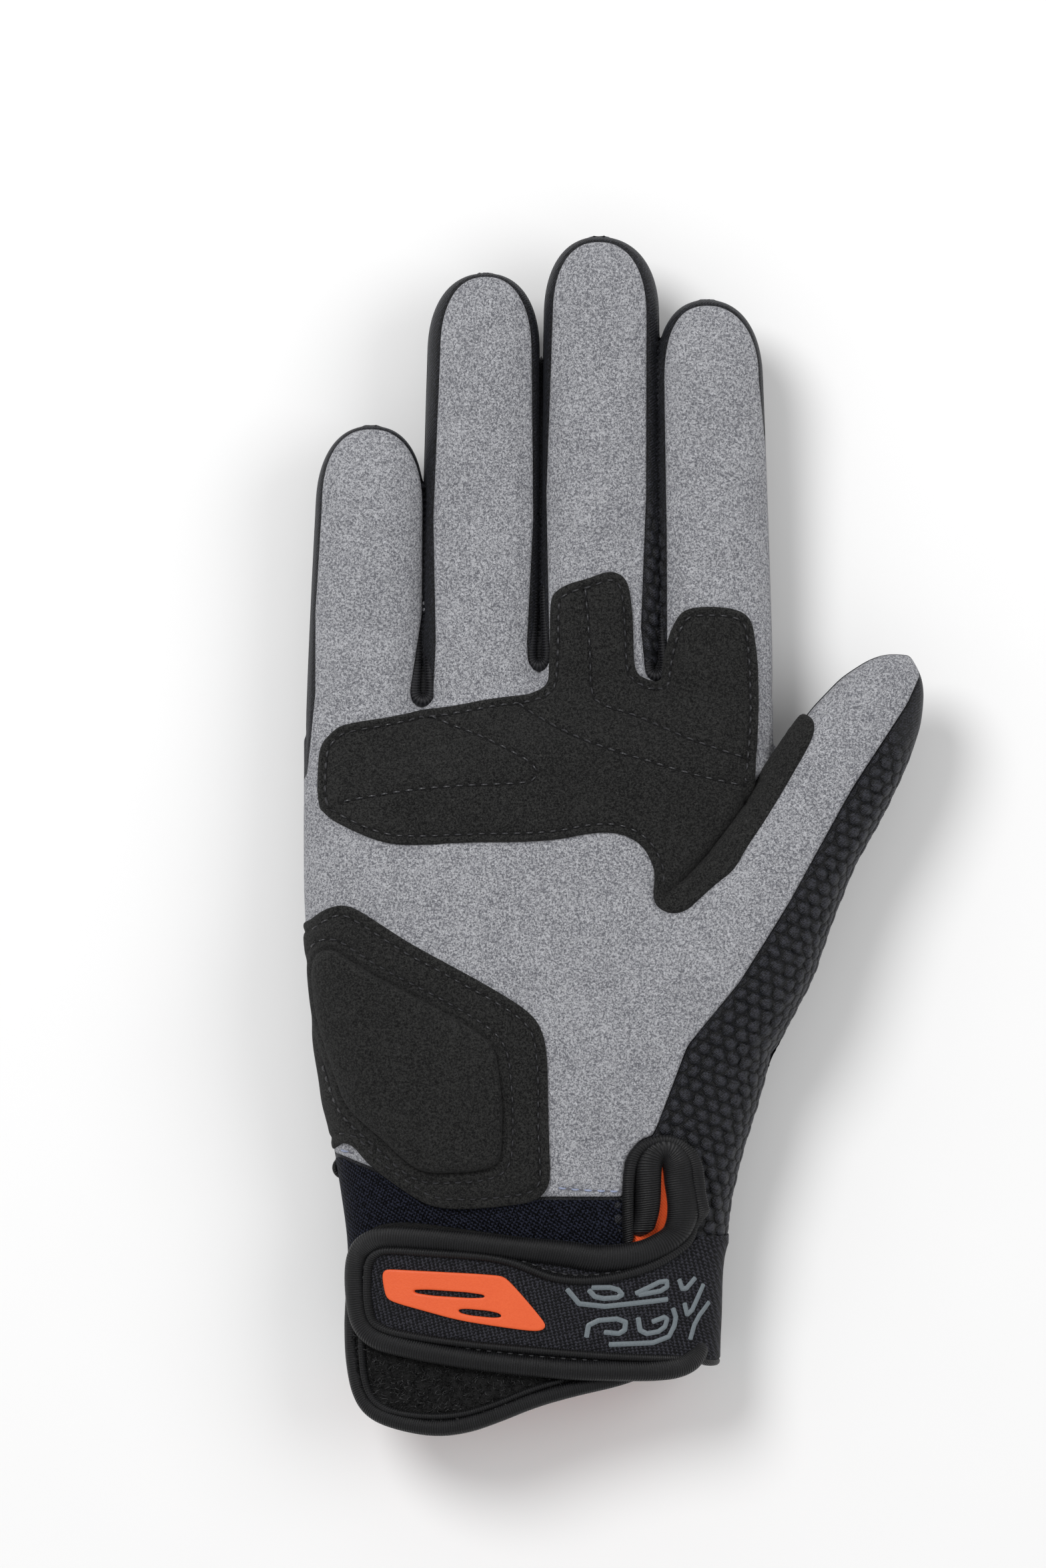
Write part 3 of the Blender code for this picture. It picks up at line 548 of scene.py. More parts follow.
def suede(name, dark, light, speck, speck_share, deep):
    """Short-napped suede: curly fibres, dark and light, over small tufts and soft clouds."""
    made = Finish(name, Roughness=0.94, Specular_IOR_Level=0.14, Sheen_Weight=0.04, Sheen_Roughness=0.6)
    at = made.place()
    fibres = made.noise(made.turned(at, (1.0, 0.35, 1.0), 0.5), 3800.0, 4.0, 0.75, 0.8)
    across = made.noise(made.turned(at, (0.35, 1.0, 1.0), 0.3), 3400.0, 4.0, 0.75, 0.8)
    tufts = made.noise(at, 2300.0, 3.0, 0.6, 0.5)
    clouds = made.noise(at, 90.0, 3.0, 0.5)
    nap = (fibres + across) * 0.5

    def curls(scale, turn):
        """Thin curly lines, 1 on a line and 0 beside it."""
        field = made.noise(made.turned(at, (1.0, 0.8, 1.0), turn), scale, 1.0, 0.5, 1.6) - 0.5
        off_line = field.joined("ABSOLUTE", field)
        return made.node("MapRange", {}, {0: off_line, 1: 0.0, 2: 0.12, 3: 1.0, 4: 0.0})

    dark_curls, light_curls = curls(2500.0, 0.4), curls(2900.0, 1.9)
    tone = ((nap - 0.5) * 3.2 + (tufts - 0.5) * 4.2 + (clouds - 0.5) * 0.4 + light_curls * 0.62
            - dark_curls * 0.66 + 0.5)
    tone = made.node("Clamp", {}, {0: tone})
    body = made.between(dark, light, tone)
    bright = made.node("MapRange", {}, {0: across, 1: speck_share, 2: speck_share + 0.10})
    color = made.node("Mix", {"data_type": "RGBA"}, {0: bright * 0.7, 6: body, 7: (*speck, 1)}, out=2)
    height = nap * 0.6 + tufts * 0.35 + light_curls * 0.25 - dark_curls * 0.3
    return made.paint(color, None, height, deep)


GREY_SUEDE = suede(
    "grey_suede", (0.155, 0.158, 0.178), (0.570, 0.575, 0.605), (0.72, 0.72, 0.75), 0.64, 0.00018)


def finger_edge():
    """The outline of the grey front: finger rims, slots, thumb edge and the sewn lower edge."""
    outline = []
    tip = TIP_ROUND * FINGER_HALF
    for i, (across, length, lean, curl, rim_left, rim_right) in enumerate(FINGERS):
        x0 = across * PALM_WIDTH
        y0 = float(crotch_y(x0))
        straight = length - tip
        tip_x = x0 + lean * length
        if i == 0:
            outline.append((-PALM_WIDTH, y0 - 24))
            outline.append((x0 - FINGER_HALF + 0.2, y0 - 12))
        wide = FINGER_HALF * (1 - FINGER_TAPER)
        root_left, root_right = ROOT_RIMS[i]
        tip_left, tip_right, tip_top = TIP_RIMS[i]
        outline.append((x0 - FINGER_HALF + RIM * root_left, y0 + 0.12 * straight))
        outline.append((x0 - FINGER_HALF + RIM * rim_left, y0 + 0.5 * straight))
        for step in range(25):
            turn = math.pi * (1 - step / 24)
            side = (1 - math.cos(turn)) / 2
            rim = mix(tip_right, tip_left, side)
            flatter = 2 / TIP_SQUARE
            outline.append((
                tip_x + math.copysign(abs(math.cos(turn)) ** flatter, math.cos(turn)) * (wide - rim),
                y0 + straight + abs(math.sin(turn)) ** flatter * (tip - tip_top)))
        outline.append((x0 + FINGER_HALF - RIM * rim_right, y0 + 0.5 * straight))
        outline.append((x0 + FINGER_HALF - RIM * root_right, y0 + 0.12 * straight))
        if i < 3:
            middle = (across + FINGERS[i + 1][0]) / 2 * PALM_WIDTH
            base = float(crotch_y(middle)) - RIM + SLOT_RISE[i]
            for step in range(9):
                turn = math.pi * step / 8
                outline.append((middle - SLOT_ROUND * math.cos(turn),
                                base + SLOT_ROUND * (1 - math.sin(turn))))
    thumb_side = (
        (0.530, 1.000, 0), (0.640, 1.080, 0), (0.790, 1.060, 0), (0.812, 0.995, 0.02),
        (0.778, 0.935, 0.1), (0.662, 0.790, 0.2), (0.528, 0.592, 0.2), (0.422, 0.453, 0.1),
        (0.312, 0.342, 0.05), (0.252, 0.210, 0.1), (0.180, 0.0805, 0))
    shaped = smooth_outline([
        (a * PALM_WIDTH, WRIST_Y + b * PALM_LENGTH, r * PALM_WIDTH) for a, b, r in thumb_side])
    return np.array(outline + shaped.tolist() + [list(point) for point in HEM[::-1]])


PALM_EDGE = finger_edge()
BODY_BOX = (-52, 84, -112, 126)


SLIT_OVAL = smooth_outline([
    (17.6, -95, 0), (17.5, -75, 4), (18.0, -68, 5), (21.5, -63.0, 5), (28.5, -63.0, 6),
    (34.0, -70.0, 6), (34.8, -78, 6), (33.0, -95, 0)])


def front_cut(x, y):
    """How far a point lies inside the cut of the grey front, which leaves out the slit."""
    return np.minimum(outline_inside(PALM_EDGE, x, y), -outline_inside(SLIT_OVAL, x, y))


def palm_inside(x, y):
    return np.minimum(front_cut(x, y), glove_inside(x, y))


def ripple(x, y, size, seed):
    """Gentle waves in a cloth, from -1 to 1, of about one size."""
    rng = np.random.default_rng(seed)
    total = np.zeros(np.shape(x))
    for _ in range(9):
        way, phase = rng.uniform(0, 2 * math.pi, 2)
        pace = 2 * math.pi / (size * rng.uniform(0.7, 1.6))
        total += np.sin(pace * (x * math.cos(way) + y * math.sin(way)) + phase)
    return total / 5


def crease(x, y, start, end, width):
    """A fold line across a cloth, 1 on the line and 0 away from it."""
    square, t = from_segment(x, y, start, end)
    return np.exp(-square / width ** 2) * np.minimum(np.minimum(t, 1 - t) * 4, 1)


# the fold where the thumb leaves the palm, and the two creases of each finger: place and depth
THUMB_FOLD = ((46.0, 11.0), (44.5, 8.5), (40.0, 2.0), (35.5, -4.0), (30.0, -9.5), (26.5, -12.4))
FOLD_DEEP, FOLD_WIDE = 2.3, 1.25
FINGER_CREASES = ((0.30, 0.35), (0.62, 0.25))


def cloth_front(x, y):
    """The glove's front with the soft waves and finger folds that a worn cloth keeps."""
    z = front_z(x, y)
    flat_z = z
    for start, end in zip(THUMB_FOLD[:-1], THUMB_FOLD[1:]):
        fold = np.exp(-from_segment(x, y, start, end)[0] / FOLD_WIDE ** 2)
        z = np.minimum(z, flat_z - FOLD_DEEP * fold * mix(1.0, 0.5, start[1] < -9))
    held = ease(0.5, 7, glove_inside(x, y))
    z = z + (0.42 * ripple(x, y, 24, 3) + 0.14 * ripple(x, y, 8, 4)) * held
    for across, length, lean, _, _, _ in FINGERS:
        x0 = across * PALM_WIDTH + lean * length / 2
        y0 = float(crotch_y(x0))
        for share, deep in FINGER_CREASES:
            at = y0 + share * length
            z = z - deep * crease(x, y, (x0 - 11, at + 1.5), (x0 + 11, at - 1), 1.7) * held
    return z


flat, faces, loops, off = cut_cloth(palm_inside, BODY_BOX, 0.72)
PALM_LIFT = 0.35
x, y = flat.T
under_heel = ease(-38, -42, x) * ease(-18, -22, y) * ease(-66, -62, y)
lift = PALM_LIFT + rolled(off, 0.75, 0.9) - 0.22 * np.exp(-((off - 2.1) / 0.5) ** 2) - 0.9 * under_heel
place, normal = draped(flat, cloth_front, lift)
place, faces = hemmed(place, normal, faces, loops, 0.7)
palm = new_piece("suede_front", place, faces, GREY_SUEDE, "grey_suede")
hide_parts("palm_panel")


# The knit shell: black stretch knit that makes the back of the hand, the sides of the fingers
# and the thumb side, where it is knitted in staggered bubbles. It dips under the grey front,
# and is open at the wrist.
BUBBLE_ACROSS, BUBBLE_ALONG, BUBBLE_ROUND, BUBBLE_LEAN = 3.15, 2.66, 1.52, math.radians(21)
BUBBLE_RISE, SHELL_END, WRIST_FLARE = 0.75, -85.0, 2.0
SLIT_HOLE = np.array([
    (24.2, -68.6), (25.4, -67.6), (27.4, -68.6), (27.6, -80.0), (25.6, -84.0), (20.6, -87.0),
    (20.8, -84.4), (23.4, -80.0), (24.0, -74.0)])
# how far up each pair of fingers touches, from its slot
FINGER_TOUCH, TOUCH_START, TOUCH_Z = (26, 66, 60), 9, 16.2


def shell_inside(x, y):
    return np.minimum(glove_inside(x, y), y - SHELL_END)


def domes(a, b):
    """Staggered round domes, 0 to 1, on a flat pattern."""
    row = np.round(b / BUBBLE_ALONG)
    best = np.full(np.shape(a), 9.0)
    for step in (-1, 0, 1):
        line = row + step
        shift = np.where(line % 2 == 0, 0, 0.5)
        near = (np.round(a / BUBBLE_ACROSS - shift) + shift) * BUBBLE_ACROSS
        best = np.minimum(best, np.hypot(a - near, b - line * BUBBLE_ALONG))
    return np.sqrt(np.maximum(1 - (best / BUBBLE_ROUND) ** 2, 0))


def from_thumb_side(surface, flat):
    """How far round the cloth each point lies from the thumb's side, measured over the surface."""
    pace = 0.2
    xs = np.arange(BODY_BOX[0], BODY_BOX[1], pace)
    ys = np.arange(BODY_BOX[2], BODY_BOX[3], 1.0)
    gx, gy = np.meshgrid(xs, ys, indexing="ij")
    z = surface(gx, gy)
    step = np.hypot(pace * math.cos(BUBBLE_LEAN), np.clip(np.diff(z, axis=0), -0.8, 0.8))
    run = np.vstack([np.zeros((1, len(ys))), np.cumsum(step, axis=0)])
    last = (len(xs) - 1 - np.argmax((glove_inside(gx, gy) > 0)[::-1], axis=0)).clip(1)
    run = run[last, np.arange(len(ys))] - run
    i = np.clip(((flat[:, 0] - xs[0]) / pace).astype(int), 0, len(xs) - 2)
    v = np.clip(flat[:, 1] - ys[0], 0, len(ys) - 1.001)
    j = v.astype(int)
    u = (flat[:, 0] - xs[i]) / pace
    return mix(mix(run[i, j], run[i + 1, j], u), mix(run[i, j + 1], run[i + 1, j + 1], u), v - j)


def curved(points, rounds=3, closed=False):
    """A path with its corners cut smooth."""
    line = np.array(points, float)
    for _ in range(rounds):
        nxt = np.roll(line, -1, axis=0) if closed else line[1:]
        here = line if closed else line[:-1]
        cut = np.stack([mix(here, nxt, 0.25), mix(here, nxt, 0.75)], axis=1).reshape(-1, line.shape[1])
        line = cut if closed else np.vstack([line[:1], cut, line[-1:]])
    return line


def ring_faces(tubes, rings, ring):
    """The skin of several tubes, each of a number of rings of points."""
    k, i, j = np.meshgrid(np.arange(tubes), np.arange(rings - 1), np.arange(ring), indexing="ij")
    a = ((k * rings + i) * ring + j).ravel()
    b = ((k * rings + i) * ring + (j + 1) % ring).ravel()
    return np.vstack([np.stack([a, b + ring, a + ring], 1), np.stack([a, b, b + ring], 1)])


def tube_on(placer, path, width, high, lift, ring=14, step=0.45, taper=1.5, rounds=3):
    """A soft tube laid along an open path on a surface: its points, faces and run in mm."""
    line = evenly(curved(path, rounds), step, closed=False)
    along = np.gradient(line, axis=0)
    along /= np.linalg.norm(along, axis=1)[:, None]
    run = np.concatenate([[0], np.cumsum(np.linalg.norm(np.diff(line, axis=0), axis=1))])
    share = run / run[-1]
    end = np.sqrt(np.clip(np.minimum(run, run[-1] - run) / taper, 0.01, 1))

    def sized(value):
        return np.interp(share, np.linspace(0, 1, len(value)), value) if np.ndim(value) else value

    turn = np.arange(ring) * 2 * math.pi / ring
    across = (sized(width) / 2 * end)[:, None] * np.cos(turn)
    up = (sized(lift) * np.ones(len(line)))[:, None] + (sized(high) / 2 * end)[:, None] * np.sin(turn)
    x = line[:, :1] - along[:, 1:] * across
    y = line[:, 1:] + along[:, :1] * across
    place = placer(x.ravel(), y.ravel(), up.ravel())
    caps = np.array([(0, k, k + 1) for k in range(1, ring - 1)])
    faces = np.vstack([ring_faces(1, len(line), ring), caps, caps[:, ::-1] + len(place) - ring])
    return place, faces, np.repeat(run, ring)


def joined_meshes(parts):
    """Several meshes as one: points, faces and a value for each point."""
    places, sides, values, count = [], [], [], 0
    for place, faces, value in parts:
        places.append(place)
        sides.append(faces + count)
        values.append(value)
        count += len(place)
    return np.vstack(places), np.vstack(sides), np.concatenate(values)


def knit(name, pitch, dark, light):
    """Fine stretch knit: small staggered loops, on round bubbles where the cloth is puffed, with painted
    highlight on each bubble's top and painted shade between the bubbles.
    """
    made = Finish(name, Roughness=0.58, Specular_IOR_Level=0.34, Sheen_Weight=0.04, Sheen_Roughness=0.45)
    made.shader.inputs["Sheen Tint"].default_value = (0.7, 0.75, 0.9, 1)
    x, y, z = made.parts(made.place())
    a = x * (2000 * math.pi / pitch) + z * (1400 * math.pi / pitch)
    b = y * (2000 * math.pi / pitch) + z * (1100 * math.pi / pitch)
    small_loops = a.joined("SINE", a) * b.joined("SINE", b)
    fuzz = made.noise(made.place(), 4200.0, 3.0, 0.7)
    specks = made.noise(made.place(), 2300.0, 3.0, 0.65)
    around, along, puffed = made.value("around"), made.value("along"), made.value("puffed")

    def from_bubble(shift):
        u, v = around / BUBBLE_ACROSS + shift, along / (2 * BUBBLE_ALONG) + shift
        u, v = u.joined("FRACT", u) - 0.5, v.joined("FRACT", v) - 0.5
        return u * u * BUBBLE_ACROSS ** 2 + v * v * (2 * BUBBLE_ALONG) ** 2

    near = around.joined("MINIMUM", from_bubble(0.5), from_bubble(0.0)) / BUBBLE_ROUND ** 2
    dome = near.joined("MAXIMUM", 1 - near, 0.0) ** 0.5
    height = small_loops * 0.06 + fuzz * 0.08 + specks * 0.10 + dome * puffed * 0.75
    # the dome term paints highlight on the bubble tops and shade in the gaps between the bubbles
    tone = (small_loops * 0.3 + (fuzz - 0.5) * 1.9 + (specks - 0.5) * 4.6 + 0.16
            + (dome - 0.62) * puffed * 1.5)
    tone = made.node("Clamp", {}, {0: tone})
    return made.paint(made.between(dark, light, tone), None, height, 0.001)


KNIT = knit("black_knit", 0.62, (0.0004, 0.0005, 0.0010), (0.0265, 0.0275, 0.0370))

flat, faces, loops, off = cut_cloth(shell_inside, BODY_BOX, 0.78)
x, y = flat.T
under = front_cut(x, y)
puffed = ease(-0.2, 1.2, -under) * ease(12, 22, x) * ease(62, 40, y + 0.9 * (x - 40))
around, along = from_thumb_side(front_z, flat), y * math.cos(BUBBLE_LEAN) + x * math.sin(BUBBLE_LEAN)
flare = WRIST_FLARE * ease(-76, -84, y) * ease(26, 34, x)
low_side = mix(0.3, 1.0, ease(0.3, 3.5, off))
lift = (domes(around, along) * BUBBLE_RISE * puffed * low_side - 1.0 * ease(-0.5, 0.7, under)
        - 0.12 + flare)
front_place = draped(flat, front_z, lift)[0]
around_back = -from_thumb_side(back_z, flat)
hand_only = ease(46, 30, y) * ease(-84, -80, y)
back_place, back_normal = draped(flat, back_z, flare * ease(4, 0, off), down=True)
rise = domes(around_back, along) * 0.55 * hand_only * ease(0.02, 0.6, back_place[:, 2]) * ease(0.1, 1.5, off)
back_place = back_place + back_normal * rise[:, None]
count = len(flat)
seen = (under[faces].max(axis=1) < 3.5) & (outline_inside(SLIT_HOLE, *flat[faces].mean(axis=1).T) < 0)
at_end = flat[:, 1] < SHELL_END + 0.3
sides = two_layers(faces, loops, count, faces[seen], lambda loop, after: at_end[loop] & at_end[after])
shell = new_piece(
    "knit_shell", np.vstack([front_place, back_place]), sides, KNIT, "black_knit", 60,
    around=np.concatenate([around, around_back]), along=np.concatenate([along, along]),
    puffed=np.concatenate([puffed, hand_only * ease(0.0, 1.0, off)]))
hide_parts("back_panel")

# the knit sides of two neighbouring fingers touch, up to where the fingers part
parts = []
for first, second, length in zip(FINGERS[:-1], FINGERS[1:], FINGER_TOUCH):
    x0 = (first[0] + second[0]) / 2 * PALM_WIDTH
    y0, lean = float(crotch_y(x0)), (first[2] + second[2]) / 2
    path = [(x0 + lean * run, y0 + run) for run in np.linspace(TOUCH_START, length, 8)]
    parts.append(tube_on(lambda x, y, lift: np.stack([x, y, TOUCH_Z + lift], axis=1), path,
                         (2.6, 2.2, 2.0, 1.8, 1.4), 3.0, (0.0, 0.0, 0.0, 0.0, -2.0), ring=10, step=0.8))
place, faces, _ = joined_meshes(parts)
new_piece("knit_finger_sides", place, faces, KNIT, "black_knit")


# The gussets: a satin strip of knit, folded into a small loop at the bottom of each slot
# between two fingers, where it joins the finger sides.
def on_front(x, y, lift):
    return draped(np.stack([x, y], axis=1), cloth_front, lift)[0]


def ribbed(name, dark, light, rough, pitch, deep):
    """Folded ribbed tape: fine ribs across its run, with a slight satin shine."""
    made = Finish(name, Specular_IOR_Level=0.30, Sheen_Weight=0.03, Sheen_Roughness=0.4)
    wobble = made.noise(made.place(), 420.0, 2.0) * 1.8
    run = made.value("run") * (2 * math.pi / pitch) + wobble
    rib = run.joined("SINE", run) * 0.5 + 0.5
    fuzz = made.noise(made.place(), 4200.0, 2.0, 0.6)
    cloud = made.noise(made.place(), 260.0, 2.0)
    tone = made.node("Clamp", {}, {0: rib * 0.85 + (fuzz - 0.5) * 1.1 + (cloud - 0.5) * 0.6})
    shine = (fuzz - 0.5) * 0.25 + (cloud - 0.5) * 0.2 + rough
    return made.paint(made.between(dark, light, tone), shine, rib * 0.8 + fuzz * 0.35, deep)


RIBBED = ribbed("ribbed_binding", (0.0004, 0.0004, 0.0006), (0.0120, 0.0120, 0.0138), 0.40, 0.50, 0.00020)
SATIN = ribbed("satin_gusset", (0.0012, 0.0012, 0.0018), (0.026, 0.026, 0.030), 0.40, 0.60, 0.00018)

for i, (name, x_shift) in enumerate((("little_ring", 0.2), ("ring_middle", 0.0), ("middle_index", 0.0))):
    x0 = (FINGERS[i][0] + FINGERS[i + 1][0]) / 2 * PALM_WIDTH + x_shift
    y0 = float(crotch_y(x0)) - RIM + SLOT_RISE[i] + 0.2
    top_z = float(cloth_front(np.array([x0]), np.array([y0 - 1.5]))[0])
    loop_path = [(x0 - 1.0, y0 + 18), (x0 - 1.3, y0 + 12), (x0 - 1.7, y0 + 6.5), (x0 - 1.95, y0 + 3.0),
                 (x0 - 1.5, y0 + 1.2), (x0, y0 + 0.5), (x0 + 1.5, y0 + 1.2), (x0 + 1.95, y0 + 3.0),
                 (x0 + 1.7, y0 + 6.5), (x0 + 1.3, y0 + 12), (x0 + 1.0, y0 + 18)]

    def in_slot(x, y, lift, y0=y0, top_z=top_z):
        """Places a point on a floor in the slot that falls away from the palm to the seam."""
        floor_z = mix(top_z + 0.1, 18.5, ease(-1.0, 15, y - y0))
        return np.stack([x, y, floor_z + lift], axis=1)

    parts = [tube_on(in_slot, loop_path, (1.5, 2.1, 2.5, 2.5, 2.5, 2.1, 1.5), 2.6, 0.0, ring=12, step=0.3)]
    floor_path = [(x0, y0 + 0.6), (x0, y0 + 4), (x0, y0 + 9), (x0, y0 + 17)]
    parts.append(tube_on(in_slot, floor_path, (2.8, 3.4, 2.8, 1.8), 1.8, -1.9, ring=10, step=0.4))
    place, faces, run = joined_meshes(parts)
    gusset = new_piece("gusset_loop_" + name, place, faces, SATIN, "satin_gusset", run=run)
    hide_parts("gusset_" + name)


# The palm patch: an overlay of black suede across the palm, with a tab up the middle and the
# index finger and a strip up the thumb. It is sewn down with black thread near its edge, and
# three quilting lines cross it.
PALM_PATCH = (
    (-45.9, 7.0), (-45.9, 13.9), (-45.4, 18.5), (-43.1, 21.4), (-40.9, 23.0), (-28.3, 24.9),
    (-19.2, 26.3), (-8.5, 28.3), (1.3, 29.3), (2.8, 33.6), (2.8, 48.9), (3.8, 50.8), (6.3, 52.4),
    (10.1, 53.3), (13.9, 54.9), (16.4, 54.7), (18.1, 53.3), (18.9, 50.1), (19.6, 44.5),
    (19.6, 35.6), (20.3, 33.2), (23.2, 31.4), (26.3, 31.4), (26.3, 34.3), (27.4, 40.5),
    (29.0, 44.9), (30.9, 47.3), (37.0, 47.6), (41.6, 46.9), (44.2, 44.9), (44.9, 40.5),
    (45.6, 32.1), (45.4, 19.9), (44.2, 9.4), (43.4, 7.0), (43.8, 7.0), (46.9, 12.3), (52.1, 19.9),
    (55.2, 24.5), (56.7, 24.9), (57.8, 23.0), (57.4, 19.9), (52.1, 10.8), (47.6, 3.2),
    (43.4, -2.8), (40.7, -7.7), (37.0, -10.4), (33.2, -13.9), (30.9, -16.1), (27.9, -16.8),
    (24.8, -15.7), (23.5, -13.4), (24.1, -8.1), (23.2, -5.5), (21.8, -2.8), (18.8, -0.6),
    (15.0, 0.4), (10.4, 0.1), (3.6, -1.3), (-4.1, -1.7), (-14.7, -1.7), (-24.5, -2.4),
    (-32.1, -2.2), (-41.2, 1.7), (-44.7, 4.1),
)
QUILT_LINES = (
    ((-23.0, 24.5), (-11.6, 19.9), (-2.5, 15.4), (-0.4, 13.4), (-0.6, 11.6), (-2.5, 10.5),
     (-11.6, 10.2), (-20.7, 9.7), (-30.5, 8.4), (-42.0, 6.3)),
    ((-4.8, 27.2), (0.6, 23.4), (7.4, 19.9), (15.0, 17.2), (22.5, 15.0), (31.6, 12.3), (42.3, 10.1)),
    ((9.7, 51.8), (10.4, 44.2), (10.8, 36.7), (10.6, 29.0), (12.7, 26.7), (18.8, 24.9),
     (26.3, 21.4), (33.9, 18.5), (43.8, 15.4)),
)
PATCH_LIFT, PATCH_SEAM = 1.35, 1.75
BLACK_SUEDE = suede(
    "black_suede", (0.0030, 0.0030, 0.0032), (0.0345, 0.0345, 0.0335), (0.13, 0.13, 0.125), 0.625, 0.00018)


def thread(name, color, shine, dark):
    """Twisted sewing thread, with the hole in the cloth where each stitch goes in coloured dark: painted
    shade.
    """
    made = Finish(name, Specular_IOR_Level=0.5)
    twist = made.noise(made.place(), 5000.0, 2.0) * made.noise(made.place(), 420.0, 1.0) * 2.0
    hole = made.value("hole")
    strand = made.between(tuple(c * 0.5 for c in color), color, twist)
    # where the hole value is 1 the colour is the dark one: painted shade in the stitch hole
    color = made.node("Mix", {"data_type": "RGBA"}, {0: hole, 6: strand, 7: (*dark, 1)}, out=2)
    return made.paint(color, twist * 0.2 + shine + hole * 0.6, twist, 0.00003)


# the last colour of each thread is the painted shade of its stitch holes, dark spots where the stitches go
# into the cloth
BLACK_THREAD = thread("black_thread", (0.031, 0.031, 0.035), 0.30, (0.0005, 0.0005, 0.0005))
PALE_THREAD = thread("pale_thread", (0.40, 0.46, 0.66), 0.50, (0.13, 0.13, 0.15))
THREAD_SHARE, THREAD_THICK = 0.62, 0.40


def near_lines(lines, x, y):
    """The distance to the nearest of several lines."""
    best = np.full(np.shape(x), 1e9)
    for line in lines:
        for start, end in zip(line[:-1], line[1:]):
            best = np.minimum(best, from_segment(x, y, start, end)[0])
    return np.sqrt(best)


def stitches(placer, line, pitch, lift):
    """Threads along a line, each a short arch that dips into a hole at both ends."""
    at = evenly(line, pitch / 8, closed=False)
    count = len(at) // 8
    along = np.gradient(at, axis=0)
    along /= np.linalg.norm(along, axis=1)[:, None]
    middle, along = at[4:count * 8:8], along[4:count * 8:8]
    steps, ring = 7, 6
    s = np.linspace(-1, 1, steps)
    turn = np.arange(ring) * 2 * math.pi / ring
    body = np.sqrt(1 - (s * 0.97) ** 4)
    up = 0.34 * (1 - s ** 2) - 0.12
    n = len(middle)
    run, girth = (s * pitch * THREAD_SHARE / 2)[None, :, None], THREAD_THICK / 2 * body[None, :, None]
    (mx, my), (ax, ay) = middle.T[:, :, None, None], along.T[:, :, None, None]
    x = mx + ax * run - ay * (girth * np.cos(turn))
    y = my + ay * run + ax * (girth * np.cos(turn))
    z = np.broadcast_to(lift + up[None, :, None] + girth * np.sin(turn), x.shape)
    place = placer(x.ravel(), y.ravel(), z.ravel())
    # a dark spot on the cloth between each two stitches: painted shade of the stitch hole, marked 1 in the
    # value below
    ahead, beside = np.cos(turn) * pitch * (1 - THREAD_SHARE) * 0.55, np.sin(turn) * THREAD_THICK * 0.62
    gap_x, gap_y = (middle + along * pitch / 2).T
    x = gap_x[:, None] + along[:, :1] * ahead - along[:, 1:] * beside
    y = gap_y[:, None] + along[:, 1:] * ahead + along[:, :1] * beside
    holes = placer(x.ravel(), y.ravel(), np.full(x.size, lift + 0.03))
    first = len(place) + np.arange(n) * ring
    caps = np.vstack([np.stack([first, first + j, first + j + 1], 1) for j in range(1, ring - 1)])
    value = np.concatenate([np.zeros(len(place)), np.ones(len(holes))])
    return np.vstack([place, holes]), np.vstack([ring_faces(n, steps, ring), caps]), value


def inner_line(outline, inset):
    """The line at an inset inside a closed outline."""
    low, high = outline.min(axis=0) - 1 + min(inset, 0), outline.max(axis=0) + 1 - min(inset, 0)
    xs, ys = np.arange(low[0], high[0], 0.4), np.arange(low[1], high[1], 0.4)
    field = outline_inside(outline, *np.meshgrid(xs, ys, indexing="ij")) - inset
    return max(edges_of(field, xs, ys), key=len)


def kept(line, test):
    """The longest stretch of a closed line whose points pass a test."""
    good = test(line[:, 0], line[:, 1])
    if good.all():
        return line
    line = np.roll(line, -int(np.argmin(good)), axis=0)
    good = np.roll(good, -int(np.argmin(good)))
    runs, start = [], None
    for i, here in enumerate(list(good) + [False]):
        if here and start is None:
            start = i
        if not here and start is not None:
            runs.append(line[start:i])
            start = None
    return max(runs, key=len)


def seam_dip(far, deep=0.34, wide=0.5):
    """How far a sewn cloth is pulled down at a distance from its stitch line."""
    return -deep * np.exp(-(far / wide) ** 2)


patch_edge = curved(PALM_PATCH, 2, closed=True)
fold_side = THUMB_FOLD[::-1] + ((47.6, 13.4), (52.1, 19.9), (55.2, 24.5))
THREAD_LIFT, THREAD_PITCH, QUILT_PITCH = PATCH_LIFT - 0.22, 2.45, 2.6
patch_seam = kept(evenly(inner_line(patch_edge, PATCH_SEAM), 0.5),
                  lambda x, y: near_lines([fold_side], x, y) > 2.05)
quilt_lines = [curved(line, 2) for line in QUILT_LINES]


def patch_inside(x, y):
    return outline_inside(patch_edge, x, y)


flat, faces, loops, off = cut_cloth(patch_inside, (-47, 59, -18, 56), 0.50)
x, y = flat.T
fold = near_lines([THUMB_FOLD], x, y)
lift = (PATCH_LIFT + rolled(off, 0.6, 0.8) + seam_dip(off - PATCH_SEAM, 0.4, 0.6)
        + seam_dip(near_lines(quilt_lines, x, y), 0.42, 0.65) + 0.12 * ripple(x, y, 9, 8)
        + 0.35 * np.exp(-((fold - 2.6) / 1.6) ** 2))
place, normal = draped(flat, cloth_front, lift)
place, faces = hemmed(place, normal, faces, loops, 1.0)
patch = new_piece("palm_overlay", place, faces, BLACK_SUEDE, "black_suede")
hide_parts("palm_patch")
sewn = [stitches(on_front, patch_seam, THREAD_PITCH, THREAD_LIFT)]
sewn += [stitches(on_front, line, QUILT_PITCH, THREAD_LIFT) for line in quilt_lines]
place, faces, hole = joined_meshes(sewn)
new_piece("palm_overlay_thread", place, faces, BLACK_THREAD, "black_suede", hole=hole)


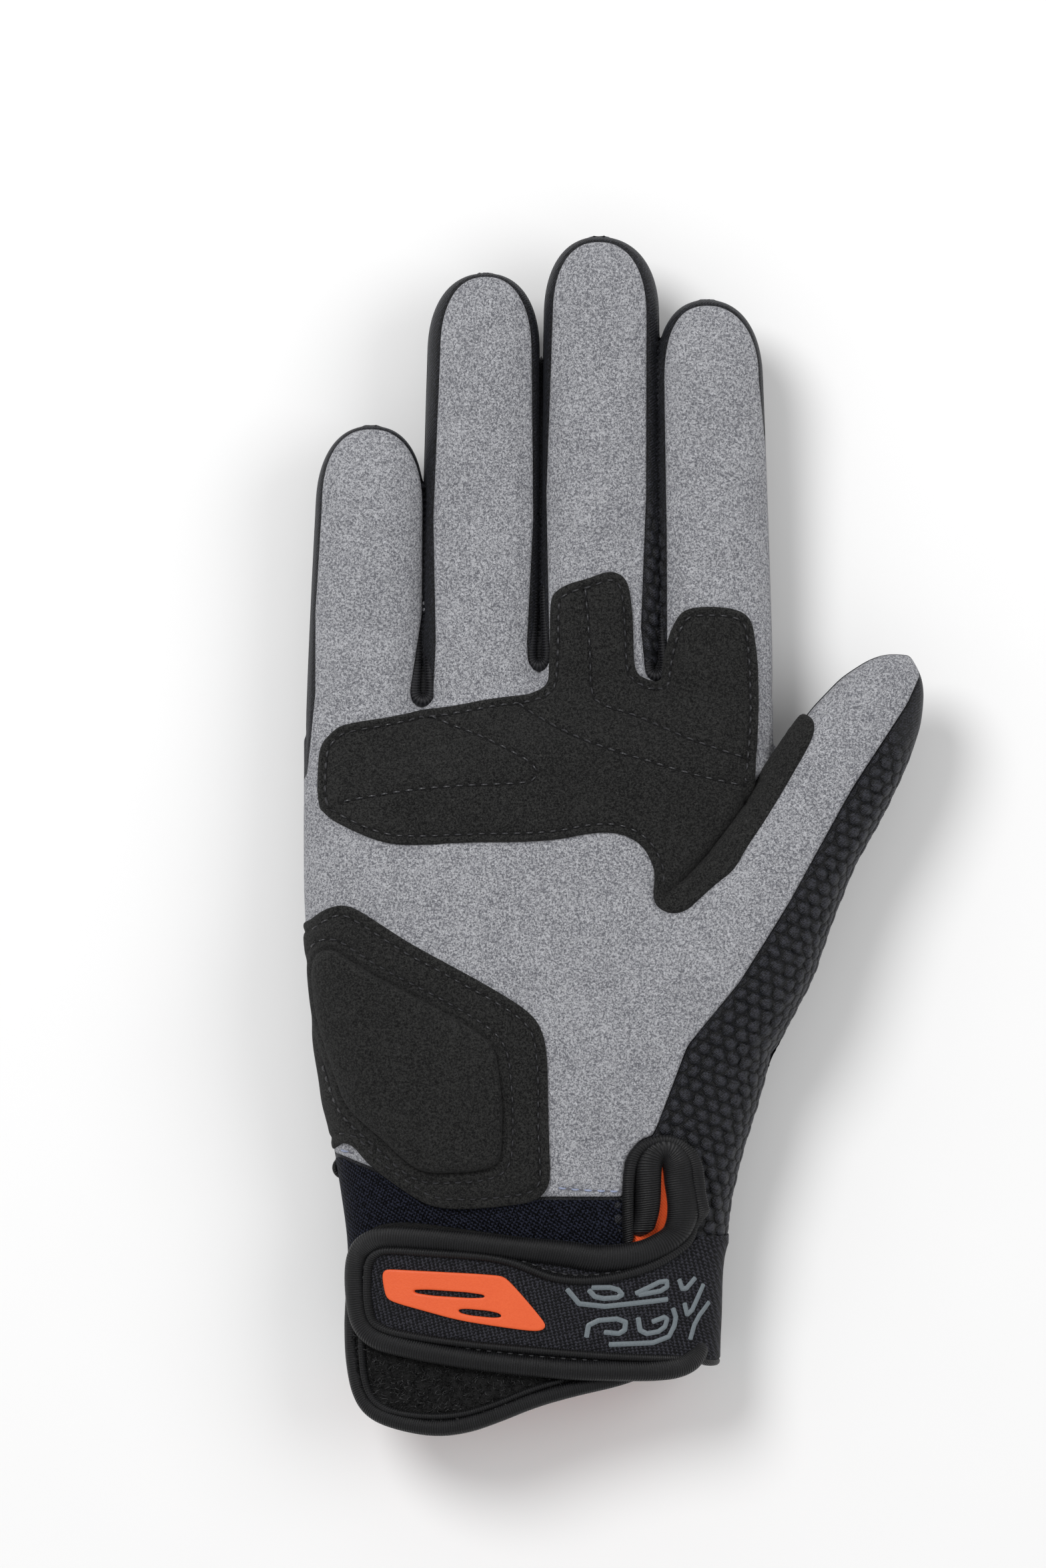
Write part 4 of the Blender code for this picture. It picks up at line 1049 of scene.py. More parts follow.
# The heel patch: black suede under the heel of the hand, wrapped round the little finger's
# side and sewn near its edge. A foam pad under a second suede makes the raised part, with a
# pressed groove and a second stitch line all round it.
HEEL_PATCH = (
    (-58.0, -19.0), (-48.3, -18.6), (-46.5, -17.2), (-43.7, -15.5), (-40.9, -14.8), (-38.1, -15.5),
    (-33.9, -18.2), (-26.5, -23.0), (-19.0, -27.0), (-12.6, -30.5), (-5.0, -34.9), (-1.4, -37.7),
    (0.4, -40.5), (1.4, -44.1), (1.8, -51.5), (2.1, -65.5), (2.4, -71.1), (1.8, -73.9),
    (-0.4, -76.2), (-4.2, -77.1), (-12.6, -78.0), (-19.0, -78.1), (-23.0, -77.3), (-25.8, -75.8),
    (-30.1, -72.8), (-34.4, -69.6), (-36.6, -67.2), (-38.2, -65.1), (-40.0, -64.4), (-41.7, -64.8),
    (-42.5, -66.6), (-50.0, -68.0),
)
HEEL_PAD = (
    (-46.5, -28.4), (-45.9, -25.6), (-44.4, -24.2), (-42.3, -24.1), (-39.5, -26.0), (-32.9, -30.2),
    (-24.6, -34.4), (-17.2, -38.4), (-11.6, -41.9), (-9.2, -44.7), (-8.4, -48.3), (-7.7, -56.3),
    (-7.7, -65.5), (-8.4, -68.0), (-9.8, -69.2), (-14.8, -70.1), (-21.8, -70.4), (-25.1, -69.7),
    (-28.3, -67.3), (-32.5, -63.1), (-36.7, -59.5), (-39.5, -56.3), (-41.3, -51.5), (-43.7, -44.1),
    (-45.5, -37.7), (-46.3, -32.1),
)
PAD_LIFT, PAD_RISE, PAD_ROUND, SIDE_SINK = 1.45, 1.75, 2.6, 0.6
HEEL_SEAM, PAD_SEAM = 2.1, 2.2
heel_edge = curved(HEEL_PATCH, 2, closed=True)
pad_edge = curved(HEEL_PAD, 2, closed=True)


def heel_inside(x, y):
    return np.minimum(outline_inside(heel_edge, x, y), glove_inside(x, y))


def pad_inside(x, y):
    return np.minimum(outline_inside(pad_edge, x, y), glove_inside(x, y) - 0.5)


def side_sink(x, y):
    """How far the heel's layers are drawn in where they wrap round the side of the hand."""
    return SIDE_SINK * ease(4.5, 0.3, glove_inside(x, y))


def on_heel(x, y, lift):
    return on_front(x, y, lift - side_sink(x, y))


flat, faces, loops, off = cut_cloth(heel_inside, (-51, 4, -80, -12), 0.52)
x, y = flat.T
from_heel, from_pad = outline_inside(heel_edge, x, y), outline_inside(pad_edge, x, y)
lift = (PATCH_LIFT + rolled(off, 0.55, 0.8) + seam_dip(from_heel - HEEL_SEAM) + seam_dip(from_pad + PAD_SEAM)
        + seam_dip(from_pad + 0.2, 0.5, 0.5) + 0.22 * np.exp(-((from_pad + 4.2) / 1.5) ** 2)
        + 0.08 * ripple(x, y, 9, 9) - side_sink(x, y))
place, normal = draped(flat, cloth_front, lift)
place, faces = hemmed(place, normal, faces, loops, 0.95)
heel = new_piece("heel_overlay", place, faces, BLACK_SUEDE, "black_suede")
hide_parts("heel_patch")

flat, faces, loops, off = cut_cloth(pad_inside, (-48, -6, -72, -22), 0.62)
x, y = flat.T
puff = np.sqrt(1 - np.clip(1 - off / PAD_ROUND, 0, 1) ** 2)
lift = (PAD_LIFT + PAD_RISE * puff + 0.35 * ease(2, 12, off) + 0.10 * ripple(x, y, 14, 10) * puff
        - side_sink(x, y) * (0.75 + 0.6 * puff))
place, normal = draped(flat, cloth_front, lift)
place, faces = hemmed(place, normal, faces, loops, 0.5)
pad = new_piece("heel_foam_pad", place, faces, BLACK_SUEDE, "black_suede")
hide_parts("heel_pad")


def well_on(x, y):
    return glove_inside(x, y) > 1.3


outer = kept(evenly(inner_line(heel_edge, HEEL_SEAM), 0.5), well_on)
around = kept(evenly(inner_line(pad_edge, -PAD_SEAM), 0.5), well_on)
sewn = [stitches(on_heel, outer, 2.4, THREAD_LIFT), stitches(on_heel, around, 2.3, THREAD_LIFT)]
place, faces, hole = joined_meshes(sewn)
new_piece("heel_overlay_thread", place, faces, BLACK_THREAD, "black_suede", hole=hole)
# the pale stitches that close the hem of the grey front on both sides of the heel patch
hem = [np.array([(3.5, -73.6), (8.0, -74.0), (13.0, -74.3), (16.6, -74.4)]),
       np.array([(-41.8, -66.0), (-40.0, -66.3), (-37.8, -67.2)])]
sewn = [stitches(on_front, curved(line, 1), 2.6, PALM_LIFT + 0.05) for line in hem]
place, faces, hole = joined_meshes(sewn)
new_piece("hem_thread", place, faces, PALE_THREAD, "grey_suede", hole=hole)


# The cuff: a band of fine ribbed navy elastic round the wrist, its open end turned in, with
# an orange cloth lining that shows through the slit and in the mouth.
CUFF_END, CUFF_SEAM, CUFF_HEM = -111.3, 4.5, 1.2
LINING_TOP, LINING_DEPTH, LINING_RISE = -48, 1.7, 2.4


def elastic(name, pitch_along, pitch_across, turn, dark, light, shine):
    """Woven elastic: rows of fine ribs, each broken into small grains."""
    made = Finish(name, Roughness=0.72, Specular_IOR_Level=shine, Sheen_Weight=0.03, Sheen_Roughness=0.4)
    x, y, z = made.parts(made.turned(made.place(), (1, 1, 1), turn))
    a = y * (2000 * math.pi / pitch_along) + z * 900.0
    b = x * (2000 * math.pi / pitch_across) + z * (1600 * math.pi / pitch_across)
    rows = a.joined("SINE", a)
    grains = b.joined("SINE", b + rows * 1.2)
    fuzz = made.noise(made.place(), 3200.0, 2.0, 0.6)
    specks = made.noise(made.place(), 1700.0, 3.0, 0.65)
    weave = rows * 0.5 + grains * 0.5
    tone = made.node("Clamp", {}, {0: weave * 0.95 + (fuzz - 0.5) * 2.4 + (specks - 0.5) * 3.4 + 0.18})
    return made.paint(made.between(dark, light, tone), None, weave * 0.5 + fuzz * 0.4, 0.00014)


NAVY = elastic("navy_elastic", 0.86, 0.64, 1.35, (0.0006, 0.0007, 0.0017), (0.0330, 0.0330, 0.0430), 0.20)
# the cuff's copy of the navy elastic has darker colours: painted shade where the strap and heel patch shade
# the cuff
SHADED_CUFF_NAVY = elastic("navy_cuff_shaded", 0.72, 0.72, 0.60, (0.0002, 0.0003, 0.0009), (0.0215, 0.0245, 0.0420), 0.08)


def cuff_front_inside(x, y):
    top = np.where(x < 26, np.interp(x, *np.transpose(HEM)) - 0.6, SHELL_END)
    band = np.minimum(np.minimum(glove_inside(x, y), y - CUFF_END), top - y)
    return np.minimum(band, -outline_inside(SLIT_HOLE, x, y))


def cuff_back_inside(x, y):
    return np.minimum(np.minimum(glove_inside(x, y), y - CUFF_END), SHELL_END - y)


parts = []
for inside, surface, down in ((cuff_front_inside, front_z, False), (cuff_back_inside, back_z, True)):
    flat, faces, loops, off = cut_cloth(inside, (-44, 40, -113, -64), 0.85)
    from_end = flat[:, 1] - CUFF_END
    lift = 0.1 - 0.5 * ease(1.2, 0, from_end) - 0.18 * np.exp(-((from_end - CUFF_SEAM) / 0.5) ** 2)
    place, normal = draped(flat, surface, lift, down)
    place, faces = hemmed(place, normal, faces[:, ::-1] if down else faces, loops, CUFF_HEM)
    parts.append((place, faces, np.zeros(len(place))))
place, faces, _ = joined_meshes(parts)
# the cuff wears the darker copy of the elastic, its painted shade
cuff = new_piece("wrist_cuff", place, faces, SHADED_CUFF_NAVY, "navy_cloth", 60)
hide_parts("cuff")


def lining_inside(x, y):
    return np.minimum(np.minimum(glove_inside(x, y) - 1.6, y - CUFF_END - 0.6), LINING_TOP - y)


flat, faces, loops, off = cut_cloth(lining_inside, (-44, 46, -112, -46), 1.2)
near_slit = ease(3.0, 0.5, -outline_inside(SLIT_HOLE, *flat.T))
front_place = draped(flat, front_z, -LINING_DEPTH + LINING_RISE * near_slit)[0]
back_place = draped(flat, back_z, -1.5, True)[0]
at_end = (flat[:, 1] < CUFF_END + 1.2) | (flat[:, 1] > LINING_TOP - 0.6)
sides = two_layers(faces, loops, len(flat), is_open=lambda loop, after: at_end[loop])
lining_made = Finish("orange_lining", Roughness=0.7, Specular_IOR_Level=0.3)
x, y, z = lining_made.parts(lining_made.place())
weave = (x + y) * 9000.0
weave = weave.joined("SINE", weave) * 0.5 + 0.5
cloud = lining_made.noise(lining_made.place(), 700.0, 2.0)
LINING = lining_made.paint(
    lining_made.between((0.85, 0.065, 0.012), (1.0, 0.16, 0.035), weave * 0.5 + cloud * 0.5),
    None, weave, 0.00008)
lining = new_piece("orange_lining", np.vstack([front_place, back_place]), sides, LINING, "orange_lining", 60)
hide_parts("slit_lining")


# The slit and the closing strap share two lines of tape. A thick ribbed tube folds over both
# edges of the slit and runs on round the navy elastic strap, and a thin ribbed cord is sewn
# beside it. Pieces here lie on the wrist by a flat pattern that wraps round it.
SECTION_SIDE, SECTION_DEPTH, WRAP_SHARE = 40.6, 15.0, 0.75
angle = np.radians(np.linspace(90, -200, 1600))
section_a = np.sign(np.cos(angle)) * np.abs(np.cos(angle)) ** (2 / HAND_SQUARE)
section_b = np.sign(np.sin(angle)) * np.abs(np.sin(angle)) ** (2 / HAND_SQUARE)
length = np.concatenate([[0], np.cumsum(np.hypot(
    np.diff(section_a) * SECTION_SIDE, np.diff(section_b) * SECTION_DEPTH))])
turned = section_a.argmax()
bend = int(np.argmax(section_a > WRAP_SHARE))
wrap_w = np.where(np.arange(len(angle)) < bend, SECTION_SIDE * section_a,
                  SECTION_SIDE * WRAP_SHARE + length - length[bend])


def wrist_section(y):
    """The wrist's middle and half width across, and its middle and half depth."""
    left, right, low, high = hand_section(np.clip((y - WRIST_Y) / PALM_LENGTH, ALONG[0], ALONG[-1]))
    return (right - left) / 2, (right + left) / 2, (low + high) / 2, (high - low) / 2


def on_wrist(w, y, lift, highest=0.0):
    """Places a point of the flat pattern round the wrist, lifted off it."""
    middle, half, mid, depth = wrist_section(np.minimum(y, highest))
    a = np.sign(w) * np.interp(np.abs(w), wrap_w, section_a)
    b = np.interp(np.abs(w), wrap_w, section_b)
    return np.stack([middle + (half + lift) * a, y, mid + (depth + lift) * b], axis=1)


def on_strap(w, y, lift):
    """Places a point on the strap, which keeps the wrist's size up to its top edge."""
    front = on_wrist(w, y, lift)
    side = on_wrist(w, y, lift - 0.8, WRIST_Y - 0.5)
    return mix(front, side, (ease(24, 33, w) * ease(-78, -83, y))[:, None])


def pattern(points, lift=3.0):
    """Turns points seen from above into points of the flat pattern."""
    points = np.array(points, float)
    middle, half, _, _ = wrist_section(points[:, 1])
    a = np.clip((points[:, 0] - middle) / (half + lift), -0.995, 0.995)
    w = np.interp(np.abs(a), section_a[:turned], wrap_w[:turned])
    return np.stack([np.sign(a) * w, points[:, 1]], axis=1)


EDGE_TUBE = (
    (21.3, -84.0), (22.6, -79.3), (22.8, -75.1), (22.8, -71.1), (23.0, -68.3), (24.1, -66.4),
    (25.9, -65.7), (27.8, -66.6), (28.9, -68.7), (29.1, -73.1), (29.2, -77.1), (28.5, -80.7),
    (26.6, -83.9), (23.6, -86.5), (19.5, -87.9), (14.1, -88.4), (10.0, -88.3), (5.4, -87.3),
    (-5.9, -86.2), (-17.3, -84.9), (-30.8, -84.0), (-34.9, -85.0), (-37.5, -87.7), (-38.2, -92.2),
    (-37.7, -98.6), (-36.7, -102.4), (-34.3, -104.9), (-31.2, -106.1), (-22.5, -108.0),
    (-11.3, -109.8), (-0.2, -110.9), (7.3, -111.6), (16.7, -111.8), (24.7, -111.9), (29.7, -111.3),
    (33.3, -109.1), (34.6, -105.9),
)
INNER_CORD = (
    (19.1, -86.0), (18.7, -79.7), (18.7, -74.9), (19.0, -69.9), (20.2, -66.4), (22.4, -64.5),
    (25.4, -63.7), (28.3, -64.1), (30.9, -66.0), (32.4, -69.2), (33.0, -73.1), (32.9, -76.6),
    (33.5, -80.9), (31.9, -84.1), (28.9, -86.7), (24.6, -89.3), (19.4, -91.3), (13.8, -92.6),
    (8.3, -93.1), (2.6, -92.5), (-1.4, -90.8), (-5.9, -89.0), (-11.5, -87.9), (-22.9, -87.2),
    (-30.8, -86.7), (-33.3, -87.5), (-34.6, -89.4), (-34.9, -93.0), (-34.8, -98.0),
    (-34.0, -101.5), (-31.9, -103.1), (-28.6, -104.1), (-17.3, -105.9), (-0.3, -107.5),
    (16.7, -108.9), (33.7, -109.8),
)
STRAP_FACE = (
    (-34.9, -93.0), (-34.6, -89.4), (-33.3, -87.5), (-30.8, -86.7), (-22.9, -87.2), (-11.5, -87.9),
    (-5.9, -89.0), (-1.4, -90.8), (2.6, -92.5), (8.3, -93.1), (13.8, -92.6), (19.4, -91.3),
    (24.6, -89.3), (28.9, -86.7), (31.9, -83.3),
)
STRAP_FACE_LOW = (
    (33.7, -109.8), (16.7, -108.9), (-0.3, -107.5), (-17.3, -105.9), (-28.6, -104.1),
    (-31.9, -103.1), (-34.0, -101.5), (-34.8, -98.0),
)
STRAP_TOP, STRAP_THICK, STRAP_BACK_END = 4.0, 1.7, 112.0
SIDE_TOP, BACK_TOP, BACK_LOW = -84.2, -84.4, -110.4

tube_path = np.vstack([pattern(EDGE_TUBE[:13], 1.2), pattern(EDGE_TUBE[13:])])
cord_path = np.vstack([
    pattern(INNER_CORD[:10], 1.4), pattern(INNER_CORD[10:13], 2.2), pattern(INNER_CORD[13:]),
    [(40.0, -110.8), (52.0, -110.8), (66.0, -110.8)]])
lifts = (0.7, 0.8, 0.9, 0.9, 1.0, 1.4, 2.4, 3.3) + (3.4,) * 27 + (3.0, 2.2)
place, faces, run = tube_on(
    on_wrist, tube_path, (4.8, 5.0, 5.6, 5.8, 5.6, 4.9, 4.8, 4.8, 4.7, 4.6, 4.4, 4.4, 4.4, 4.4, 4.2),
    (3.4, 3.4, 3.4, 3.4, 3.2, 2.8, 2.7, 2.7, 2.7, 2.7, 2.7, 2.7), lifts, ring=18)
binding = new_piece("strap_edge_tube", place, faces, RIBBED, "ribbed_binding", run=run)
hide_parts("strap_binding", "slit_binding")
# the thin cord outside the tube at the slit, inside it on the strap, and on round the thumb side
cord_lifts = (0.7, 0.8, 0.9, 1.0, 1.4, 2.0, 3.2) + (4.1,) * 19 + (3.9, 3.6, 3.3, 3.1, 3.0, 3.0, 3.0)
place, faces, run = tube_on(
    on_strap, cord_path, (2.2, 2.4, 2.4, 2.1, 1.8, 1.7, 1.6, 1.6, 1.6, 1.6, 1.6, 1.6, 1.6), 1.7, cord_lifts,
    ring=12, step=0.4)
cord = new_piece("slit_seam_cord", place, faces, RIBBED, "ribbed_binding", run=run)
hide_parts("slit_piping")

# the elastic's face inside the cord, and the whole strap with what the tube covers
strap_face = np.vstack([
    pattern(STRAP_FACE),
    [(40.0, SIDE_TOP), (STRAP_BACK_END + 9, BACK_TOP), (STRAP_BACK_END + 9, BACK_LOW - 0.5)],
    pattern(STRAP_FACE_LOW)])
strap_outline = np.vstack([
    tube_path[15:-3],
    [(38.0, BACK_LOW), (STRAP_BACK_END, BACK_LOW), (STRAP_BACK_END, BACK_TOP), (40.0, SIDE_TOP)],
    pattern([(33.6, SIDE_TOP), (31.0, -86.4), (26.0, -88.4), (20.0, -90.2)])])


def strap_inside(w, y):
    return outline_inside(strap_outline, w, y)


flat, faces, loops, off = cut_cloth(strap_inside, (-39, STRAP_BACK_END + 1, -114, -82), 0.7)
w, y = flat.T
face = ease(-0.9, 0.1, outline_inside(strap_face, w, y))
top = on_strap(w, y, STRAP_TOP + 0.06 * ripple(w, y, 11, 12) - 0.75 * (1 - face))
low = on_strap(w, y, STRAP_TOP - STRAP_THICK + 0 * w)
sides = two_layers(faces, loops, len(flat))
strap = new_piece("strap_elastic", np.vstack([top, low]), sides, NAVY, "navy_cloth", 60)
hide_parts("strap")

# the stitches that hold the tube on the strap lie in the groove beside it
groove = np.array([
    (26.0, -87.5), (19.7, -90.4), (14.0, -91.5), (8.4, -92.0), (2.7, -91.3), (-1.4, -89.5),
    (-5.9, -88.2), (-17.4, -87.0), (-31.1, -85.9), (-34.4, -86.7), (-35.9, -89.3), (-36.1, -94.0),
    (-35.8, -99.5), (-34.8, -102.7), (-32.0, -104.1), (-22.9, -106.2), (-11.4, -107.5),
    (-0.2, -108.8), (16.9, -110.0), (28.0, -110.4)])
place, faces, hole = stitches(on_wrist, curved(pattern(groove), 2), 2.2, STRAP_TOP - 0.5)
new_piece("strap_thread", place, faces, BLACK_THREAD, "ribbed_binding", hole=hole)


# The badge: a raised plate of soft orange rubber near the strap's free end. It is moulded
# with two plain slanted slots and is pressed on to the elastic.
BADGE_EDGE = (
    (-31.9, -90.8), (-29.8, -90.7), (-8.3, -91.7), (-6.4, -92.5), (1.3, -101.8), (1.3, -102.9),
    (-0.3, -103.6), (-5.9, -102.9), (-16.1, -101.3), (-22.9, -99.4), (-30.2, -97.4),
    (-31.1, -96.2),
)
BADGE_RISE, BADGE_THICK = 0.65, 1.3
badge_edge = pattern(curved(BADGE_EDGE, 2, closed=True))
slots = [pattern(curved(points, 1, closed=True)) for points in (
    ((-26.0, -94.6), (-11.2, -95.6), (-10.4, -96.8), (-25.2, -95.9)),
    ((-17.0, -98.6), (-8.2, -99.4), (-7.0, -100.9), (-16.0, -100.0)),
)]


def badge_inside(w, y):
    inside = outline_inside(badge_edge, w, y)
    for slot in slots:
        inside = np.minimum(inside, -outline_inside(slot, w, y))
    return inside


badge_made = Finish("orange_badge", Specular_IOR_Level=0.45)
grain = badge_made.noise(badge_made.place(), 2600.0, 3.0)
cloud = badge_made.noise(badge_made.place(), 120.0, 2.0)
BADGE = badge_made.paint(
    badge_made.between((0.70, 0.085, 0.017), (0.86, 0.135, 0.032), grain * 0.6 + cloud * 0.4),
    grain * 0.25 + 0.38, grain, 0.00005)
flat, faces, loops, off = cut_cloth(badge_inside, (-34, 4, -106, -90), 0.5)
w, y = flat.T
top = on_wrist(w, y, STRAP_TOP + BADGE_RISE + rolled(off, 0.25, 0.45))
normal = top - on_wrist(w, y, STRAP_TOP + 0 * w)
place, faces = hemmed(top, normal, faces, loops, BADGE_THICK)
badge = new_piece("strap_rubber_badge", place, faces, BADGE, "orange_badge")
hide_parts("strap_badge")


# The print: grey rubbery ink, printed on the strap's elastic in slightly raised lines. They
# make a plain pattern of bars, hooks and arcs.
PRINT_LINES = (
    ((5.5, -94.6), (8.9, -98.8), (26.5, -97.0)),
    ((9.9, -94.8), (11.7, -96.8), (17.2, -96.4), (15.6, -94.4), (10.5, -94.4)),
    ((19.4, -95.8), (26.1, -92.6), (26.3, -95.0), (20.0, -96.0)),
    ((9.5, -104.9), (10.1, -101.4), (17.6, -100.8), (17.2, -104.1), (13.0, -103.7)),
    ((20.0, -100.6), (20.6, -104.3), (25.5, -103.5), (26.5, -100.4), (22.8, -101.7)),
    ((14.0, -106.3), (26.1, -105.9), (28.5, -101.5), (27.5, -98.8)),
    ((28.9, -92.8), (29.9, -95.6), (32.5, -92.6)),
    ((30.1, -97.8), (30.9, -101.2), (34.2, -94.0)),
    ((31.3, -105.7), (32.5, -101.5), (35.4, -97.8)),
)
PRINT_WIDTH = 1.05
print_made = Finish("grey_print", Specular_IOR_Level=0.5)
grain = print_made.noise(print_made.place(), 3600.0, 2.0)
PRINT = print_made.paint(
    print_made.between((0.085, 0.105, 0.118), (0.185, 0.215, 0.235), grain),
    grain * 0.3 + 0.3, grain, 0.00004)
parts = [tube_on(on_strap, pattern(line), PRINT_WIDTH, 0.3, STRAP_TOP + 0.06, ring=8, step=0.15,
                 taper=0.1, rounds=1) for line in PRINT_LINES]
place, faces, _ = joined_meshes(parts)
new_piece("strap_print", place, faces, PRINT, "navy_cloth")


# The loop tab: the hook-and-loop tab under the strap's free end. Its face is a fuzz of nylon
# loops, and ribbed tape is folded round its edge with a thin seam cord inside it.
TAB_EDGE = (
    (-36.2, -83.0), (-33.9, -81.2), (-27.6, -80.4), (-17.4, -81.8), (-0.3, -84.1), (16.0, -85.6),
    (16.0, -115.0), (8.4, -117.0), (-0.3, -119.4), (-8.3, -122.7), (-15.1, -125.0), (-22.0, -125.7),
    (-30.0, -124.4), (-35.7, -122.2), (-39.1, -118.1), (-40.5, -111.4), (-41.0, -105.8),
    (-41.0, -100.1), (-40.1, -95.0), (-38.2, -88.0),
)
TAB_TUBE = (
    (-37.0, -86.0), (-38.6, -93.0), (-39.3, -99.0), (-39.4, -105.8), (-38.9, -111.3), (-37.5, -117.2),
    (-34.7, -120.7), (-29.5, -122.7), (-22.0, -124.0), (-15.5, -123.3), (-9.0, -121.1),
    (-0.9, -117.8), (8.0, -115.4), (16.0, -113.7), (21.0, -112.0), (25.0, -110.4),
)
TAB_CORD = (
    (-36.9, -101.0), (-37.0, -108.0), (-36.5, -114.0), (-34.8, -118.2), (-31.1, -120.6),
    (-23.1, -121.6), (-16.2, -121.1), (-9.4, -119.0), (-1.6, -115.7), (5.5, -113.6),
)
TAB_TOP_LIFT = 1.75
PILE_SPOTS, PILE_STRANDS, STRAND_STEPS, STRAND_RADIUS = 9000, 3400, 6, 0.075
pile_made = Finish("loop_pile", Roughness=0.6, Specular_IOR_Level=0.3)
# the value 'bright' scales the colour: near zero on the sheet under the loops, painted shade between them;
# random on the strands, whose brightest ones are painted highlights
grain = pile_made.noise(pile_made.place(), 2500.0, 3.0, 0.7)
PILE = pile_made.paint(
    pile_made.between(
        (0.0002, 0.0002, 0.0003), (0.060, 0.060, 0.062), grain * pile_made.value("bright")),
    None, grain, 0.0003)
tab_edge = pattern(curved(TAB_EDGE, 2, closed=True), 1.3)


def tab_inside(w, y):
    return outline_inside(tab_edge, w, y) - 0.4


flat, faces, loops, off = cut_cloth(tab_inside, (-46, 20, -127, -79), 0.9)
w, y = flat.T
top = on_wrist(w, y, TAB_TOP_LIFT - 0.5 + 0 * w)
low = on_wrist(w, y, 0.45 + 0 * w)
sides = two_layers(faces, loops, len(flat))
rng = np.random.default_rng(21)
spots = rng.uniform((-44, -124), (18, -80), (PILE_SPOTS, 2))
free = outline_inside(tab_edge, *spots.T)
over = outline_inside(pattern(curved(EDGE_TUBE[16:], 1)), *spots.T)
spots = spots[(free > 2.8) & (over < 0.8)][:PILE_STRANDS]
heading = rng.uniform(0, 2 * math.pi, len(spots))
swing = rng.uniform(-1.6, 1.6, len(spots))
reach = rng.uniform(0.8, 1.7, len(spots))
arch = rng.uniform(0.35, 1.05, len(spots))
s = np.linspace(0, 1, STRAND_STEPS)
turn = heading[:, None] + swing[:, None] * s
px = spots[:, :1] + np.cumsum(np.cos(turn), axis=1) * (reach / STRAND_STEPS)[:, None]
py = spots[:, 1:] + np.cumsum(np.sin(turn), axis=1) * (reach / STRAND_STEPS)[:, None]
pz = TAB_TOP_LIFT - 0.6 + arch[:, None] * np.sin(math.pi * s)
ring = np.arange(3) * 2 * math.pi / 3
x3 = px[:, :, None] - np.sin(turn)[:, :, None] * STRAND_RADIUS * np.cos(ring)
y3 = py[:, :, None] + np.cos(turn)[:, :, None] * STRAND_RADIUS * np.cos(ring)
z3 = pz[:, :, None] + STRAND_RADIUS * np.sin(ring)
strands = on_wrist(x3.ravel(), y3.ravel(), z3.ravel())
# each strand's brightness differs at random, and the brightest stand in as painted highlights on the loops
strand_tone_and_highlight = np.repeat(rng.uniform(0, 1, len(spots)) ** 3 * 1.9, STRAND_STEPS * 3)
# the sheet under the loops gets 0.05, nearly black: painted shade between the loops
place, faces, bright = joined_meshes([
    (np.vstack([top, low]), sides, np.full(2 * len(flat), 0.05)),
    (strands, ring_faces(len(spots), STRAND_STEPS, 3), strand_tone_and_highlight)])
tab = new_piece("tab_loop_pile", place, faces, PILE, "loop_pile", 60, bright=bright)
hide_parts("loop_tab")
parts = [tube_on(on_wrist, pattern(TAB_TUBE, 1.2), (3.0, 3.4, 3.7, 3.7, 3.5, 3.4), 2.4, 1.15, ring=14),
         tube_on(on_wrist, pattern(TAB_CORD, 1.8), 1.3, 1.3, 1.85, ring=8)]
place, faces, run = joined_meshes(parts)
tab_binding = new_piece("tab_edge_tube", place, faces, RIBBED, "ribbed_binding", run=run)
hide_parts("loop_tab_binding")


# The side loop: the end of a thin ribbed cord, caught in the side seam above the cuff, from
# which it stands out.
loop_x, loop_y, loop_z, cord_wide = -41.6, -70.2, 17.8, 1.2


def beside(x, y, lift):
    return np.stack([x, y, loop_z + lift], axis=1)


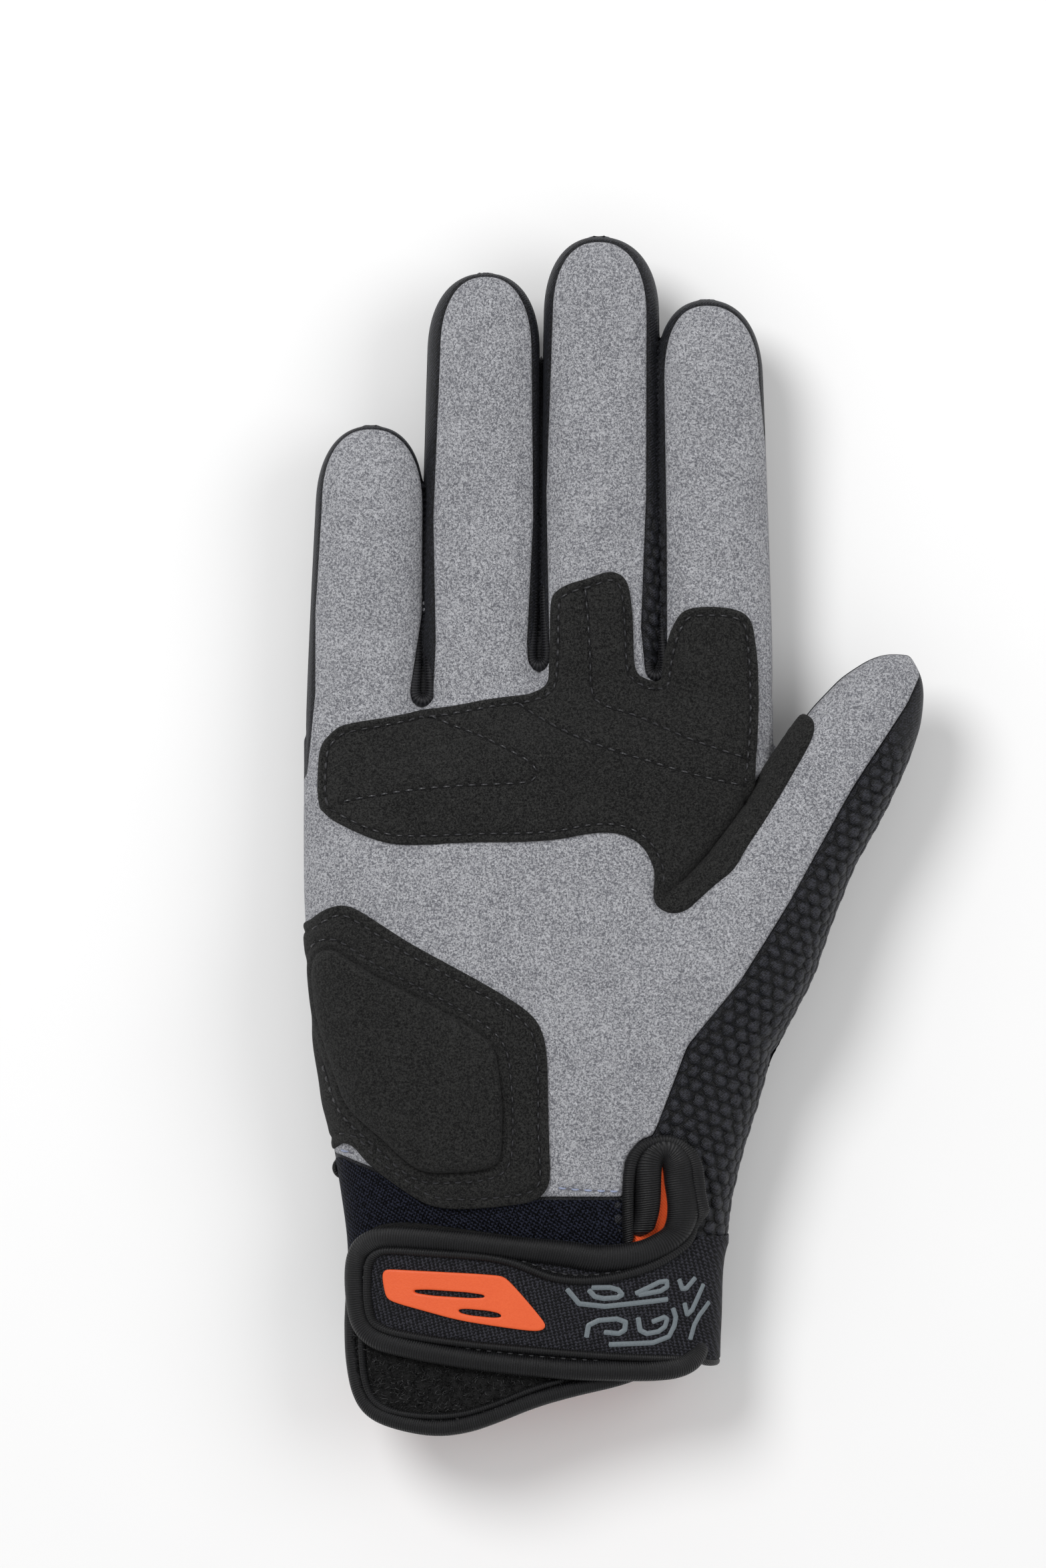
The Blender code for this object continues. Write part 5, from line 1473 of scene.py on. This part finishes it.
loop_path = [(loop_x + 1.6, loop_y + 1.9), (loop_x - 0.6, loop_y + 1.7), (loop_x - 1.5, loop_y),
             (loop_x - 0.6, loop_y - 1.7), (loop_x + 1.6, loop_y - 1.9)]
place, faces, run = tube_on(beside, loop_path, cord_wide, cord_wide, 0.0, ring=8, step=0.25, taper=0.3)
side_loop = new_piece("side_cord_loop", place, faces, RIBBED, "ribbed_binding", run=run)
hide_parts("side_loop")


# The floor is plain and pale. One large soft light hangs over the glove, with a weaker one
# from the fingers' side, and the camera looks straight down on the palm.
floor_mesh = bpy.data.meshes.new("floor")
floor_mesh.from_pydata([(-3, -3, 0), (3, -3, 0), (3, 3, 0), (-3, 3, 0)], [], [(0, 1, 2, 3)])
floor = bpy.data.objects.new("floor", floor_mesh)
bpy.context.scene.collection.objects.link(floor)
floor_finish = Finish("floor", Roughness=0.9)
grain = floor_finish.noise(floor_finish.place(), 40.0, 2.0)
floor_mesh.materials.append(floor_finish.paint(
    floor_finish.between((0.965, 0.965, 0.965), (0.98, 0.98, 0.98), grain)))


def soft_light(name, size, power, place, target):
    data = bpy.data.lights.new(name, "AREA")
    data.shape, data.size, data.energy = "DISK", size, power
    lamp = bpy.data.objects.new(name, data)
    bpy.context.scene.collection.objects.link(lamp)
    lamp.location = place
    lamp.rotation_euler = (Vector(target) - Vector(place)).to_track_quat("-Z", "Y").to_euler()


soft_light("key_light", 0.60, 10.0, (-0.55, 0.60, 1.15), (0, 0, 0.02))
soft_light("fill_light", 0.9, 4.2, (0.9, 0.2, 1.0), (0, 0, 0.02))
world = bpy.data.worlds.new("studio")
bpy.context.scene.world = world
world.use_nodes = True
world.node_tree.nodes["Background"].inputs[0].default_value = (1, 1, 1, 1)
world.node_tree.nodes["Background"].inputs[1].default_value = 0.5

# the photo's long side spans this many metres at the height of the palm's face
PHOTO_LONG_SIDE, PHOTO_Z, CAMERA_PLACE = 0.3291, 0.02, (-0.00336, 0.01043, 1.52)
camera_data = bpy.data.cameras.new("camera")
camera_data.sensor_width = 36
camera_data.lens = camera_data.sensor_width * (CAMERA_PLACE[2] - PHOTO_Z) / PHOTO_LONG_SIDE
camera = bpy.data.objects.new("camera", camera_data)
camera.location = CAMERA_PLACE
bpy.context.scene.collection.objects.link(camera)
bpy.context.scene.camera = camera
bpy.context.scene.view_settings.view_transform = "Standard"
